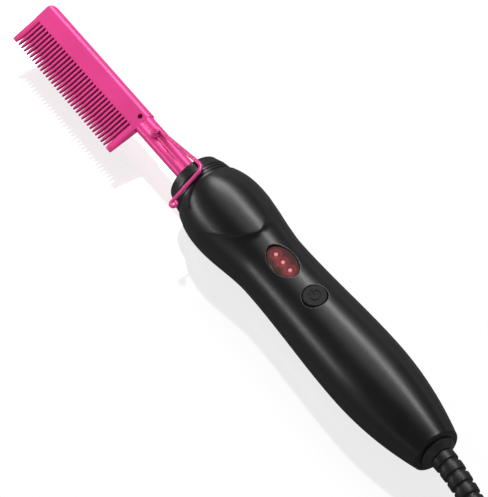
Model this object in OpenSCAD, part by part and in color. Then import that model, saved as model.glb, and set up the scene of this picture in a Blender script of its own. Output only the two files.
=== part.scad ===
// Hot comb with a swivelling mains lead: a heated metal comb on a two-lobed neck, with a
// wire rest that swings on the neck, and a hollow handle split along its length.
//
// Inside these modules +X runs along the handle from the comb tip to the cord, +Y points to
// the spine of the comb, and +Z out of the face that holds the button. X = 0 is the rear end
// of the handle, and "s" is a distance forward from there. placed() then sets the whole
// object down on its back, with its origin in the middle of its footprint.

/* [Handle] */
// Length of the two handle shells
shell_len = 174; // [170:0.5:182]
// Diameter at the widest place, near the front
bulge_d = 40; // [38.5:0.5:42]
// Distance of the widest place from the rear end
bulge_pos = 157; // [154:0.5:163]
// Diameter at the waist, under the indicator window
waist_d = 33.6; // [32.5:0.1:35]
// Distance of the waist from the rear end
waist_pos = 124; // [121:0.5:130]
// Diameter of the palm swell
belly_d = 39; // [37:0.5:40]
// Distance of the palm swell from the rear end
belly_pos = 53; // [50:0.5:62]
// Diameter at the rear end, before its rounded edge
tail_d = 23.8; // [23.4:0.1:26]
// Rounding of the rear edge
tail_round = 1.4; // [0.8:0.1:1.6]
// Outer diameter of the shells' front mouth
mouth_d = 33.6; // [33:0.1:35]
// Wall of the shells
wall = 2.2; // [1.8:0.1:2.4]
// Thickness of the shells' rear end wall
end_wall = 3.2; // [2.6:0.1:3.6]
// Reach of the raised tongue on the top, from the rear end
tongue_pos = 134.5; // [132:0.5:142]
// Height of the tongue's tip above the handle's axis
tongue_h = 18.7; // [18:0.1:19.2]

/* [Nose] */
// Length of the nose collar in front of the shells
nose_len = 12; // [10:0.5:14]
// Diameter of the nose collar where it leaves the shells
nose_d = 32; // [31:0.1:32.6]
// Diameter of the nose collar's front rim
nose_front_d = 26.8; // [25:0.1:28]
// Thickness of the nose collar's front wall
nose_wall = 3; // [2.4:0.1:3.6]
// Number of fine grooves round the nose collar
nose_grooves = 3; // [1:1:4]
// Spacing of the fine grooves
nose_groove_pitch = 1.8; // [1.4:0.1:2]

/* [Neck] */
// Free length of the neck between the nose and the comb
neck_len = 36.9; // [34:0.1:42]
// How far the comb and its neck are turned about the handle's axis, in degrees
front_roll = 13; // [8:1:16]
// Radius of each of the neck's two lobes
lobe_r = 3; // [2.8:0.05:3.2]
// Distance of the upper lobe from the handle's axis
lobe_up = 1.2; // [1:0.1:1.5]
// Distance of the lower lobe from the handle's axis
lobe_down = 2.6; // [2:0.1:2.8]
// Radius of the wire way through the upper lobe
wireway_r = 2.5; // [2.45:0.01:2.6]

/* [Comb] */
// Length of the comb head
comb_len = 77.4; // [70:0.1:84]
// Radius of the round spine
spine_r = 2.9; // [2.7:0.05:3.2]
// Distance of the spine's centre from the handle's axis
spine_y = 2; // [1.9:0.1:2.4]
// Thickness of the plate from the spine to where the teeth begin
plate_t = 3.8; // [3.4:0.1:4]
// Thickness at the tooth tips
tip_t = 1.3; // [1:0.1:1.8]
// Distance of the tooth tips from the handle's axis
tooth_reach = 21.2; // [20:0.1:25]
// How much less the teeth reach at the comb's tip
reach_loss = 1.4; // [0:0.1:2]
// Distance of the slots' inner ends from the handle's axis
slot_root = 5.7; // [5:0.1:7]
// Width of a slot between two teeth
slot_w = 0.9; // [0.7:0.05:1.1]
// Spacing of the slots
slot_pitch = 2.19; // [2:0.005:2.5]
// Solid plate left at the comb's tip end
tip_land = 2.8; // [2:0.1:4]
// Least solid plate left at the comb's handle end
root_land = 3.6; // [3:0.1:4]
// Rounding of the spine's front corner
corner_r = 3; // [2:0.1:3.5]
// Diameter of the heater bore in the spine
heater_bore_d = 3.4; // [3.2:0.1:3.6]

/* [Wire rest] */
// Diameter of the wire
wire_d = 1.8; // [1.5:0.1:2]
// Distance of the pivot screw from the comb
pivot_back = 9; // [8.6:0.1:12]
// Height of the crossbar above the handle's axis
bar_h = 17; // [16.8:0.1:18]
// Length of the leg, seen from above
leg_len = 36; // [34:0.1:37]
// Length of the crossbar
bar_len = 22; // [18:0.5:23]
// Lean of the crossbar towards the handle, in degrees
bar_lean = 9.5; // [8:0.5:18]
// Radius of the bend between leg and crossbar
bend_r = 4.4; // [2.4:0.1:5]
// Radius of the curl at the crossbar's end, on the wire's centre line
curl_r = 1.3; // [1.2:0.05:1.6]
// Diameter of the pivot screw's shank
pivot_d = 1.7; // [1.6:0.1:2]
// Diameter of the pivot screw's head
pivot_head_d = 3.4; // [3.2:0.1:3.6]

/* [Button and window] */
// Distance of the power button from the rear end
button_pos = 91; // [90:0.5:97]
// Diameter of the power button
button_d = 11.4; // [10.8:0.1:12]
// Gap round the power button
button_gap = 0.35; // [0.3:0.05:0.5]
// Travel of the power button
button_travel = 0.8; // [0.4:0.1:0.9]
// Distance of the window's centre from the rear end
window_pos = 115.5; // [114:0.5:120]
// Length of the window
window_len = 20.4; // [18:0.2:21]
// Width of the window
window_w = 12.3; // [11:0.1:13]
// Depth of the lens below the top of the handle
lens_depth = 1.3; // [1:0.1:1.6]
// Thickness of the lens
lens_t = 1.4; // [1.2:0.1:1.6]
// Number of indicator lamps
lamp_count = 3; // [1:1:3]
// Spacing of the indicator lamps
lamp_pitch = 5.4; // [5:0.1:5.6]
// Diameter of an indicator lamp
lamp_d = 3; // [2.6:0.1:3.2]

/* [Circuit board] */
// Length of the circuit board
board_len = 60; // [58:0.5:64]
// Width of the circuit board
board_w = 20; // [19:0.5:21]
// Thickness of the circuit board
board_t = 1.6; // [1.2:0.1:1.8]
// Height of the board's underside above the handle's axis
board_h = 5; // [4.6:0.1:5.2]
// Distance of the board's rear edge from the rear end
board_pos = 73; // [72:0.5:77]
// Height of the tactile switch's case
switch_h = 3.5; // [3.2:0.1:3.6]
// Diameter of a board screw's shank
board_screw_d = 2; // [1.8:0.1:2.2]

/* [Shell screws] */
// Diameter of a shell screw's shank
shell_screw_d = 2.5; // [2.2:0.1:2.8]
// Diameter of a shell screw's head
shell_head_d = 5.2; // [4.8:0.1:5.4]
// Distance of the rear screws from the rear end
rear_screw_pos = 37; // [36:0.5:44]
// Distance of the front screws from the rear end
front_screw_pos = 147; // [144:0.5:153]
// Distance of the screws from the handle's middle plane
screw_side = 10; // [9.5:0.1:10.5]

/* [Swivel] */
// Diameter of the gland's journal in its bush
journal_d = 14; // [13:0.1:14.6]
// Outer diameter of the swivel bush
bush_d = 18.8; // [18:0.1:19]
// Length of the conical collar outside the handle
collar_len = 3.6; // [3.6:0.1:6]
// Diameter of the collar beside the handle
collar_d = 18; // [16.4:0.1:18.2]
// Diameter of the collar beside the strain relief
collar_end_d = 12.6; // [12.4:0.1:14]
// Diameter of the two slip rings
slip_ring_d = 8.8; // [8:0.1:9]
// Width of a slip ring
slip_ring_w = 4; // [3:0.1:4.4]

/* [Cord] */
// Diameter of the mains cord
cord_d = 6; // [5.8:0.1:6]
// Diameter of the strain relief at the handle
relief_d = 12; // [11.6:0.1:13.2]
// Diameter of the strain relief at its far end
relief_end_d = 10.4; // [8:0.1:10.8]
// Length of the strain relief along its centre line
relief_len = 44; // [38:0.5:46]
// Number of segments on the strain relief
relief_ribs = 7; // [5:1:8]
// Layers of the stored hank
hank_layers = 4; // [2:2:4]
// Turns in one layer of the hank
hank_turns = 2; // [1:1:2]
// Straight part on each side of the hank
hank_straight = 74; // [60:0.5:78]
// Radius of the outermost turn at the hank's ends
hank_out_r = 20; // [19.5:0.1:20.5]
// Gap between neighbouring turns
hank_gap = 0.6; // [0.6:0.05:0.7]
// End of the cord between the hank and the plug
hank_tail = 50; // [46:1:54]
// Thickness of the tie round the hank
tie_t = 0.9; // [0.7:0.1:1.2]
// Width of the tie
tie_w = 9; // [6:0.5:12]

/* [Plug] */
// Length of the plug's body
plug_len = 34; // [30:0.5:40]
// Width of the plug's body
plug_w = 24; // [22:0.5:27]
// Distance between the two blades
blade_gap = 12.7; // [12.7:0.1:12.7]
// Length of a blade
blade_len = 16; // [15.9:0.1:18]
// Width of a blade
blade_w = 6.4; // [6.1:0.1:6.5]
// Thickness of a blade
blade_t = 1.5; // [1.4:0.1:1.6]

/* [Hidden] */
$fn = 96;

// Clearances
fit = 0.05;          // a running or push fit, on the radius
seat = 0.1;          // a seated piece in its pocket
air = 0.3;           // between two bodies that only pass each other
eps = 0.01;
far = 500;           // reaches past the whole object

// Radii and stations along the handle
bulge_r = bulge_d / 2;
waist_r = waist_d / 2;
belly_r = belly_d / 2;
tail_r = tail_d / 2;
mouth_r = mouth_d / 2;
nose_r = nose_d / 2;
nose_front_r = nose_front_d / 2;
shoulder_power = 2.4;
tongue_power = 1.6;
tongue_spread = 0.066;
nose_s = shell_len + nose_len;
comb_s = nose_s + neck_len;
tip_s = comb_s + comb_len;
pivot_s = comb_s - pivot_back;
profile_step = 3;

// Nose collar
spigot_r = mouth_r - wall - seat;
spigot_len = 4;
flange_r = spigot_r + 1.3;
flange_t = 2.5;
nose_round = 1.5;
nose_break = 0.52;       // the nose's side bends at this share of its length
nose_break_r = 0.4;      // and this share of the way from its wide to its narrow radius
nose_bore_r = 11;
groove_w = 0.6;
groove_depth = 0.35;
groove_start = 1.4;
clamp_t = 4;
clamp_r = 6.4;
ceramic_t = 3.5;
flange_screw_r = 1;
flange_screw_side = 8.6;
flange_head_r = 1.8;
flange_head_t = 1.2;
flange_screw_short = 1.2;   // the screws end this far below the collar's front
neck_rear_s = shell_len - 9;
neck_valley = 0.45;      // depth of the valley between the neck's two lobes
neck_end_t = 2;          // end wall of the neck, which only the leads pass
lead_bore_r = 1.5;

// Comb and heater
heater_bore_r = heater_bore_d / 2;
heater_y = spine_y + 0.4;
heater_r = heater_bore_r - seat;
heater_len = 62;
heater_front = 5;
tenon_r = 1.2;
tenon_y = -0.6;
tenon_len = 6;
set_screw_back = 3.3;
set_screw_r = 1.2;
set_screw_sink = 0.5;
set_screw_y = 0;
set_screw_key_r = 0.55;
set_screw_key_depth = 0.5;
tenon_flat = 0.5;       // height of the flat that the set screw bears on
tenon_flat_len = 3;
set_screw_top = plate_t / 2 - set_screw_sink;
tooth_taper = 2.5;
tooth_tip_gap = slot_w + 0.8;
slot_count = floor((comb_len - tip_land - root_land - slot_w) / slot_pitch) + 1;

// Wires
lead_r = 0.35;
lead_apart = 0.5;
lead_drop = 0.7;
sensor_r = 0.6;
sensor_rise = 0.9;
sensor_len = 4;
sensor_gap = 1;
supply_r = 0.9;
supply_side = 3;
supply_drop = 7.5;
supply_in = 3;          // how far inside the board's rear edge they turn up
sleeve_clear = 6;       // the sleeve reaches back to this far in front of the board
sleeve_t = 0.4;
riser_in = 6;        // how far inside the board's edge a wire turns up to it

// Window and lamps
pad_w = 2;
ledge_w = 1;
lens_top = shell_r(window_pos) - lens_depth;
lens_bottom = lens_top - lens_t;
pad_depth = 1.6;
board_top = board_h + board_t;
lamp_gap = 0.8;
lamp_top = lens_bottom - lamp_gap;

// Power button, its guide and its switch
button_r = button_d / 2;
button_bore_r = button_r + button_gap;
button_top = shell_r(button_pos) + 0.1;
guide_t = 1.6;
guide_depth = 1.8;
guide_bottom = shell_r(button_pos) - wall - guide_depth;
flange_top = guide_bottom - air;
button_flange_r = button_bore_r + 0.8;
button_flange_t = 1;
switch_side = 6;
plunger_r = 1.7;
plunger_h = 1;
plunger_in = 1.2;
switch_top = board_top + switch_h;
stem_r = 2.2;
icon_r = 2.6;
icon_w = 0.7;
icon_depth = 0.3;
icon_gap = 60;
rim_round = 0.5;

// Board posts and screws
post_r = 2.3;
post_in = 6;
post_side = 7;
board_screw_r = board_screw_d / 2;
board_head_r = 1.9;
board_head_t = 1.3;
board_bite = 4.5;
// Parts under the board: place from the board's rear end, length, width and height
COMPONENT_BLOCKS = [[26, 10, 10, 7], [44, 14, 8, 9]];
capacitor_in = 12;
capacitor_r = 3.4;
capacitor_h = 10;

// Shell screws
shell_screw_r = shell_screw_d / 2;
shell_head_r = shell_head_d / 2;
boss_r = 3.6;
head_seat = 9;
head_t = 2.2;
bite = 7;
blind = 1;
recess_w = 0.9;
recess_depth = 1;

// Swivel
journal_r = journal_d / 2;
bush_r = bush_d / 2;
bush_flange_r = bush_r + 1.1;
bush_flange_t = 1.2;
retainer_r = 9;
retainer_t = 1.5;
retainer_s = end_wall + bush_flange_t + air;
stub_r = slip_ring_d / 2 - 0.8;
stub_end_s = retainer_s + retainer_t + 20;
slip_ring_r = slip_ring_d / 2;
slip_first_s = retainer_s + retainer_t + 3;
slip_pitch = 8;
brush_t = 0.8;
brush_w = 3;
brush_reach = 4;
carrier_top = -slip_ring_r - air - brush_t;
carrier_t = 3.5;
carrier_w = 12;
carrier_front_s = slip_first_s + slip_pitch + slip_ring_w + 1.5;
carrier_rear_s = slip_first_s - 1.5;
carrier_seat_w = 8;

// Wire rest
wire_r = wire_d / 2;
pivot_r = pivot_d / 2;
eye_r = pivot_r + fit + wire_r;
neck_top = lobe_r;
eye_z = neck_top + seat + wire_r;
pivot_head_z = eye_z + wire_r + fit;
pivot_head_t = 1;
pivot_y = 0.6;
corner_y = 5.1;
foot_turn = 2;       // reach of the short bend where the leg lifts off its eye
corner = [leg_len - pivot_s, corner_y, bar_h];
bar_way = [sin(bar_lean), -cos(bar_lean), 0];
curl_at = corner + bar_len * bar_way + curl_r * [cos(bar_lean), sin(bar_lean), 0];

// Cord, hank and plug
cord_r = cord_d / 2;
axis_h = bulge_r;
relief_x = air + collar_len;
collar_rim = 0.6;
relief_groove = 0.9;
relief_bend = 13;    // degrees by which the relief has bent at its far end
relief_roll = 40;    // which way it bends: degrees from straight down towards the teeth
cord_sides = 10;
relief_sides = 12;
free_len = 68;        // reach along X of the free stretch, from the relief to the hank
free_drop = 44;       // the first part of it, in which the cord comes down to the floor
free_steps = 16;
hank_pitch = cord_d + hank_gap;
hank_in_r = hank_out_r - hank_turns * hank_pitch;
hank_low = tie_t + fit + cord_r;
hank_high = hank_low + (hank_layers - 1) * hank_pitch;
straight_share = hank_straight / (2 * hank_straight + PI * (hank_out_r + hank_in_r));
climb_share = 0.25;   // of a turn, on each side of where one layer goes over into the next
arc_steps = 8;
hank_sides = 6;
tail_run = 12;        // the tail goes on straight this far before it comes down to the plug
tail_end = 4;
tail_steps = 8;
plug_h = 21;
plug_axis = plug_h / 2;
plug_side = 3;        // how far the plug stands in from the cord's last straight
plug_round = 4;
plug_boot_len = 12;
plug_boot_r = cord_r + 0.8;
plug_boot_end_r = 6.5;
blade_hole_in = 3.4;
blade_hole_r = 1.6;
tie_slack = 0.2;

// Lowest and highest place of the object without its cord, for the origin
front_x = -tip_s;
relief_tip = relief_point(1);
rear_x = relief_tip[0] + relief_end_d / 2 * sin(relief_bend);
low_y = min(-bulge_r, rolled_y(curl_at[1] - curl_r, curl_at[2]) - wire_r);
high_y = bulge_r;

/* ---- shapes that several pieces share ---- */

function ease(t) = t * t * (3 - 2 * t);
function mix(a, b, t) = a + (b - a) * t;

// Outer radius of the handle at a distance s from its rear end
function shell_r(s) =
    s < belly_pos ? belly_r - (belly_r - tail_r) * pow((belly_pos - s) / belly_pos, 2)
    : s < waist_pos ? mix(belly_r, waist_r, ease((s - belly_pos) / (waist_pos - belly_pos)))
    : s < bulge_pos ? mix(waist_r, bulge_r, ease((s - waist_pos) / (bulge_pos - waist_pos)))
    : bulge_r - (bulge_r - mouth_r) * pow((s - bulge_pos) / (shell_len - bulge_pos), shoulder_power);

// Outer radius of the raised tongue that carries the bulge back over the waist
function tongue_r(s) =
    bulge_r - (bulge_r - tongue_h) * pow((bulge_pos - s) / (bulge_pos - tongue_pos), tongue_power);

function stations(from, to) =
    let (count = ceil((to - from) / profile_step))
    [for (i = [0 : count]) mix(from, to, i / count)];

// Centre line of the strain relief, which leaves the collar straight and then bends evenly
function relief_angle(t) = relief_bend * (1 - pow(1 - t, 3));
function relief_point(t, steps = 24) =
    t <= 0 ? [relief_x, 0, 0]
    : let (h = t / steps)
      [relief_x, 0, 0] + sum([for (i = [0 : steps - 1]) relief_len * h * relief_way(h * (i + 0.5))]);
function relief_way(t) =
    let (a = relief_angle(t))
    [cos(a), -sin(a) * sin(relief_roll), -sin(a) * cos(relief_roll)];
function sum(list, i = 0) = i == len(list) - 1 ? list[i] : list[i] + sum(list, i + 1);

function unit(v) = v / norm(v);
function heading(path, i) = unit(path[min(i + 1, len(path) - 1)] - path[max(i - 1, 0)]);
function ring(at, way, r, sides) =
    let (across = unit(cross([0, 0, 1], way)), up = cross(way, across))
    [for (k = [0 : sides - 1])
        at + r * (across * cos(360 * (k + 0.5) / sides) + up * sin(360 * (k + 0.5) / sides))];

// One closed tube along a path, with a radius at each point; the end faces can be given
// their own direction, so that they lie square on what they meet
module tube(path, radii, sides, first_way, last_way) {
    last = len(path) - 1;
    way = [for (i = [0 : last])
        i == 0 && first_way != undef ? first_way
        : i == last && last_way != undef ? last_way : heading(path, i)];
    points = [for (i = [0 : last]) each ring(path[i], way[i], radii[i], sides)];
    walls = [for (i = [0 : last - 1], k = [0 : sides - 1])
        let (a = i * sides + k, b = i * sides + (k + 1) % sides)
        each [[a, a + sides, b + sides], [a, b + sides, b]]];
    front = [for (k = [1 : sides - 2]) [0, k, k + 1]];
    back = [for (k = [1 : sides - 2]) [last * sides, last * sides + k + 1, last * sides + k]];
    polyhedron(points, concat(front, walls, back), convexity = 10);
}

// A round lead bent sharply at each point
module lead(points, r) {
    for (i = [0 : len(points) - 2])
        rod(points[i], points[i + 1], r);
    for (i = [1 : len(points) - 2])
        translate(points[i]) sphere(r = r, $fn = 32);
}

// A cylinder between two points
module rod(from, to, r) {
    way = to - from;
    translate(from)
        rotate([0, acos(way[2] / norm(way)), atan2(way[1], way[0])])
            cylinder(h = norm(way), r = r, $fn = 32);
}

// Turns an outline of [radius, s] about the handle's axis
module turned(outline) {
    rotate([0, -90, 0]) rotate_extrude() polygon(outline);
}

// A disc or tube on the handle's axis, from one station forward to another
module disc(from_s, to_s, r) {
    translate([-from_s, 0, 0]) rotate([0, -90, 0]) cylinder(h = to_s - from_s, r = r);
}

// An upright cylinder at a station
module upright(s, y, from_z, to_z, r) {
    translate([-s, y, from_z]) cylinder(h = to_z - from_z, r = r, $fn = 48);
}

// Everything above (side = 1) or below (side = -1) the parting plane
module half_space(side) {
    translate([-far, -far / 2, side > 0 ? 0 : -far]) cube([2 * far, far, far]);
}

// Turns the nose, the neck and what they carry about the handle's axis
module rolled() {
    rotate([front_roll, 0, 0]) children();
}
function rolled_y(y, z) = y * cos(front_roll) - z * sin(front_roll);
function rolled_z(y, z) = y * sin(front_roll) + z * cos(front_roll);

// Sets the object down on its back, with the origin in the middle of its footprint
module placed() {
    translate([-(front_x + rear_x) / 2, -(low_y + high_y) / 2, axis_h]) children();
}

// The same move for what lies on the floor, whose heights are measured from the floor
module laid() {
    translate([-(front_x + rear_x) / 2, -(low_y + high_y) / 2, 0]) children();
}

/* ---- handle shells ---- */

// The handle's whole outer form, solid
module handle_form() {
    turned(concat(
        [[0, 0]],
        [for (a = [0 : 15 : 90])
            [shell_r(tail_round) - tail_round * (1 - sin(a)), tail_round * (1 - cos(a))]],
        [for (s = stations(tail_round + 1, shell_len)) [shell_r(s), s]],
        [[0, shell_len]]));
    intersection() {
        turned(concat(
            [[0, tongue_pos]],
            [for (s = stations(tongue_pos, bulge_pos)) [tongue_r(s), s]],
            [[0, bulge_pos]]));
        linear_extrude(bulge_r) polygon(concat(
            [[-bulge_pos, -bulge_r], [-bulge_pos, bulge_r]],
            [for (y = [18 : -1.5 : -18]) [-min(tongue_pos + tongue_spread * y * y, bulge_pos - 1), y]]));
    }
}

// The hollow inside
module handle_hollow() {
    turned(concat(
        [[0, end_wall]],
        [for (s = stations(end_wall, shell_len)) [shell_r(s) - wall, s]],
        [[shell_r(shell_len) - wall, shell_len + 1], [0, shell_len + 1]]));
}

// One shell: the wall on its side of the parting plane, with the ribs and bosses given
module shell_half(side) {
    intersection() {
        handle_form();
        half_space(side);
        union() {
            difference() {
                half_space(side);
                handle_hollow();
            }
            children();
        }
    }
}

// Places of the four shell screws
module at_shell_screws() {
    for (s = [rear_screw_pos, front_screw_pos], y = [-screw_side, screw_side])
        translate([-s, y, 0]) children();
}

// Places of the four board screws
module at_board_screws() {
    for (s = [board_pos + post_in, board_pos + board_len - post_in], y = [-post_side, post_side])
        translate([-s, y, 0]) children();
}

// Outline of the window, grown by a margin
module window_outline(margin) {
    long = window_len / 2 + margin;
    wide = window_w / 2 + margin;
    translate([-window_pos, 0])
        polygon([for (a = [0 : 7.5 : 352.5]) [long * cos(a), wide * sign(sin(a)) * pow(abs(sin(a)), 1.12)]]);
}

module upper_shell() {
    color([0.13, 0.13, 0.14]) difference() {
        shell_half(1) {
            at_shell_screws() cylinder(h = bulge_r, r = boss_r, $fn = 48);
            at_board_screws() translate([0, 0, board_top]) cylinder(h = bulge_r, r = post_r, $fn = 48);
            translate([0, 0, lens_bottom - pad_depth]) linear_extrude(bulge_r) window_outline(pad_w);
            upright(button_pos, 0, guide_bottom, bulge_r, button_bore_r + guide_t);
        }
        at_shell_screws() translate([0, 0, -1]) cylinder(h = bite + blind + 1, r = shell_screw_r + fit, $fn = 48);
        at_board_screws() cylinder(h = board_top + board_bite + blind, r = board_screw_r + fit, $fn = 48);
        translate([0, 0, lens_bottom]) linear_extrude(bulge_r) window_outline(0);
        linear_extrude(bulge_r) window_outline(-ledge_w);
        upright(button_pos, 0, 0, bulge_r, button_bore_r);
        disc(-1, end_wall + 1, bush_r + fit);
    }
}

module lower_shell() {
    color([0.13, 0.13, 0.14]) difference() {
        shell_half(-1) {
            at_shell_screws() translate([0, 0, -bulge_r]) cylinder(h = bulge_r, r = boss_r, $fn = 48);
            translate([-carrier_front_s, -carrier_seat_w / 2, -bulge_r])
                cube([carrier_front_s - carrier_rear_s, carrier_seat_w, bulge_r + carrier_top - carrier_t]);
        }
        at_shell_screws() translate([0, 0, -bulge_r]) cylinder(h = far, r = shell_screw_r + fit, $fn = 48);
        at_shell_screws() translate([0, 0, -bulge_r]) cylinder(h = bulge_r - head_seat, r = shell_head_r + seat, $fn = 48);
        disc(-1, end_wall + 1, bush_r + fit);
    }
}

module shell_screws() {
    color([0.45, 0.45, 0.47]) at_shell_screws() difference() {
        union() {
            translate([0, 0, -head_seat - head_t]) cylinder(h = head_t, r = shell_head_r, $fn = 48);
            translate([0, 0, -head_seat]) cylinder(h = head_seat + bite, r = shell_screw_r, $fn = 48);
        }
        for (turn = [0, 90])
            translate([0, 0, -head_seat - head_t]) rotate(turn)
                cube([1.1 * shell_head_r, recess_w, 2 * recess_depth], center = true);
    }
}

/* ---- nose, neck and comb ---- */

// Cross-section of the neck, grown by a margin; X is up the comb's spine side
module neck_section(margin) {
    translate([lobe_up, 0]) circle(r = lobe_r + margin);
    translate([-lobe_down, 0]) circle(r = lobe_r + margin);
    translate([-lobe_down, -waist_of_neck() - margin]) square([lobe_up + lobe_down, 2 * (waist_of_neck() + margin)]);
}
// Half the neck's thickness in the valley between the lobes
function waist_of_neck() = lobe_r - neck_valley;

// Extrudes a section, drawn with X along +Y, forward along the handle's axis
module run(from_s, to_s) {
    translate([-to_s, 0, 0]) rotate([90, 0, 90]) linear_extrude(to_s - from_s) children();
}

module nose_collar() {
    color([0.1, 0.1, 0.11]) difference() {
        turned(concat(
            [[0, shell_len - spigot_len - flange_t], [flange_r, shell_len - spigot_len - flange_t],
             [flange_r, shell_len - spigot_len], [spigot_r, shell_len - spigot_len],
             [spigot_r, shell_len], [nose_r, shell_len]],
            [[mix(nose_r, nose_front_r, nose_break_r), mix(shell_len, nose_s, nose_break)]],
            [for (a = [0 : 18 : 90])
                [nose_front_r - nose_round * (1 - cos(a)), nose_s - nose_round * (1 - sin(a))]],
            [[0, nose_s]]));
        disc(shell_len - spigot_len - flange_t - 1, nose_s - nose_wall, nose_bore_r);
        run(nose_s - nose_wall - 1, nose_s + 1) neck_section(seat);
        for (i = [0 : nose_grooves - 1])
            nose_groove(shell_len + groove_start + i * nose_groove_pitch);
        for (y = [-flange_screw_side, flange_screw_side])
            translate([-(nose_s - 1), y, 0]) rotate([0, 90, 0]) cylinder(h = nose_wall, r = flange_screw_r + fit, $fn = 32);
    }
}

// One fine groove round the nose collar
module nose_groove(s) {
    lip = mix(nose_r, nose_front_r, nose_break_r * (s - shell_len) / (nose_break * nose_len));
    difference() {
        disc(s, s + groove_w, nose_r + 1);
        disc(s - 1, s + groove_w + 1, lip - groove_depth);
    }
}

module neck_tube() {
    color([0.9, 0.29, 0.58]) difference() {
        union() {
            run(neck_rear_s, comb_s) neck_section(0);
            translate([0, tenon_y, 0]) disc(comb_s - 1, comb_s + tenon_len, tenon_r);
        }
        translate([0, lobe_up, 0]) disc(neck_rear_s - 1, comb_s - neck_end_t, wireway_r);
        translate([0, heater_y, 0]) disc(comb_s - neck_end_t - 1, comb_s + 1, lead_bore_r);
        translate([-(comb_s + set_screw_back + tenon_flat_len / 2), tenon_y - lobe_r, tenon_flat])
            cube([tenon_flat_len, 2 * lobe_r, lobe_r]);
        upright(pivot_s, pivot_y, -far / 2, far / 2, pivot_r + fit);
    }
}

module pivot_screw() {
    color([0.82, 0.25, 0.52]) {
        upright(pivot_s, pivot_y, -lobe_r, pivot_head_z, pivot_r);
        intersection() {
            upright(pivot_s, pivot_y, pivot_head_z, pivot_head_z + pivot_head_t, pivot_head_d / 2);
            translate([-pivot_s, pivot_y, pivot_head_z + pivot_head_t - pivot_head_d])
                sphere(r = pivot_head_d, $fn = 64);
        }
    }
}

module set_screw() {
    color([0.3, 0.03, 0.15]) difference() {
        upright(comb_s + set_screw_back, set_screw_y, tenon_flat + fit, set_screw_top, set_screw_r - fit);
        translate([-(comb_s + set_screw_back), set_screw_y, set_screw_top - set_screw_key_depth])
            cylinder(h = plate_t, r = set_screw_key_r, $fn = 6);
    }
}

// Reach of the teeth at a station
function reach_at(s) = tooth_reach - reach_loss * (s - comb_s) / comb_len;

// One slot between two teeth, which widens where the teeth taper to their tips
module slot(reach) {
    translate([0, 0, -plate_t]) linear_extrude(2 * plate_t) polygon([
        [-slot_w / 2, -slot_root], [slot_w / 2, -slot_root],
        [slot_w / 2, -reach + tooth_taper], [tooth_tip_gap / 2, -reach - eps],
        [tooth_tip_gap / 2, -tooth_reach - 1], [-tooth_tip_gap / 2, -tooth_reach - 1],
        [-tooth_tip_gap / 2, -reach - eps], [-slot_w / 2, -reach + tooth_taper]]);
}

function slot_s(i) = tip_s - tip_land - slot_w / 2 - i * slot_pitch;

module comb_head() {
    color([0.9, 0.29, 0.58]) difference() {
        union() {
            run(comb_s, tip_s) translate([spine_y, 0]) circle(r = spine_r);
            run(comb_s, tip_s) polygon([
                [spine_y, -plate_t / 2], [-slot_root, -plate_t / 2], [-tooth_reach, -tip_t / 2],
                [-tooth_reach, tip_t / 2], [-slot_root, plate_t / 2], [spine_y, plate_t / 2]]);
        }
        for (i = [0 : slot_count - 1])
            translate([-slot_s(i), 0, 0]) slot(reach_at(slot_s(i)));
        translate([0, 0, -plate_t]) linear_extrude(2 * plate_t)
            polygon([[-comb_s + 1, -reach_at(comb_s - 1)], [-tip_s - 1, -reach_at(tip_s + 1)],
                     [-tip_s - 1, -tooth_reach - 1], [-comb_s + 1, -tooth_reach - 1]]);
        translate([-tip_s, spine_y + spine_r, 0]) difference() {
            translate([-1, -corner_r, -10]) cube([corner_r + 1, corner_r + 1, 20]);
            translate([corner_r, -corner_r, -11]) cylinder(h = 22, r = corner_r);
        }
        translate([0, heater_y, 0]) disc(comb_s - 1, tip_s - heater_front, heater_bore_r);
        translate([0, tenon_y, 0]) disc(comb_s - 1, comb_s + tenon_len + seat, tenon_r + fit);
        upright(comb_s + set_screw_back, set_screw_y, tenon_y, plate_t, set_screw_r);
    }
}

module ceramic_heater() {
    color([0.93, 0.92, 0.88]) translate([0, heater_y, 0])
        disc(tip_s - heater_front - heater_len, tip_s - heater_front - seat, heater_r);
}

module temperature_sensor() {
    color([0.75, 0.55, 0.3]) translate([0, heater_y, sensor_rise])
        disc(sensor_s() , sensor_s() + sensor_len, sensor_r);
}
function sensor_s() = tip_s - heater_front - heater_len - sensor_gap - sensor_len;

// The leads of heater and sensor run back through the neck, then turn up to the board
module lead_to_board(from_s, y, z, turn_s, r) {
    lead([[-from_s, y, z], [-turn_s, y, z], [-turn_s, y, board_h]], r);
}
// The same for a lead whose place is given in the comb's turned frame
module rolled_lead(from_s, y, z, turn_s, r) {
    lead_to_board(from_s, rolled_y(y, z), rolled_z(y, z), turn_s, r);
}
function lead_turn_s() = board_pos + board_len - riser_in;

module heater_leads() {
    color([0.9, 0.9, 0.92])
        for (side = [-1, 1])
            rolled_lead(tip_s - heater_front - heater_len, heater_y + side * lead_apart, -lead_drop,
                          lead_turn_s() - side, lead_r);
}

module sensor_lead() {
    color([0.75, 0.2, 0.15])
        rolled_lead(sensor_s(), heater_y, sensor_rise, lead_turn_s() + 4, lead_r);
}

function sleeve_rear_s() = board_pos + board_len + sleeve_clear;
module insulating_sleeve() {
    color([0.92, 0.9, 0.8]) translate([0, lobe_up, 0]) difference() {
        disc(sleeve_rear_s(), neck_rear_s, wireway_r + sleeve_t);
        disc(sleeve_rear_s() - 1, neck_rear_s + 1, wireway_r);
    }
}

module ceramic_flange() {
    color([0.95, 0.94, 0.9]) difference() {
        disc(nose_s - nose_wall - ceramic_t, nose_s - nose_wall, nose_bore_r - seat);
        run(nose_s - nose_wall - ceramic_t - 1, nose_s) neck_section(seat);
        for (y = [-flange_screw_side, flange_screw_side])
            translate([-nose_s, y, 0]) rotate([0, 90, 0]) cylinder(h = far / 10, r = flange_screw_r + fit, $fn = 32);
    }
}

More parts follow.
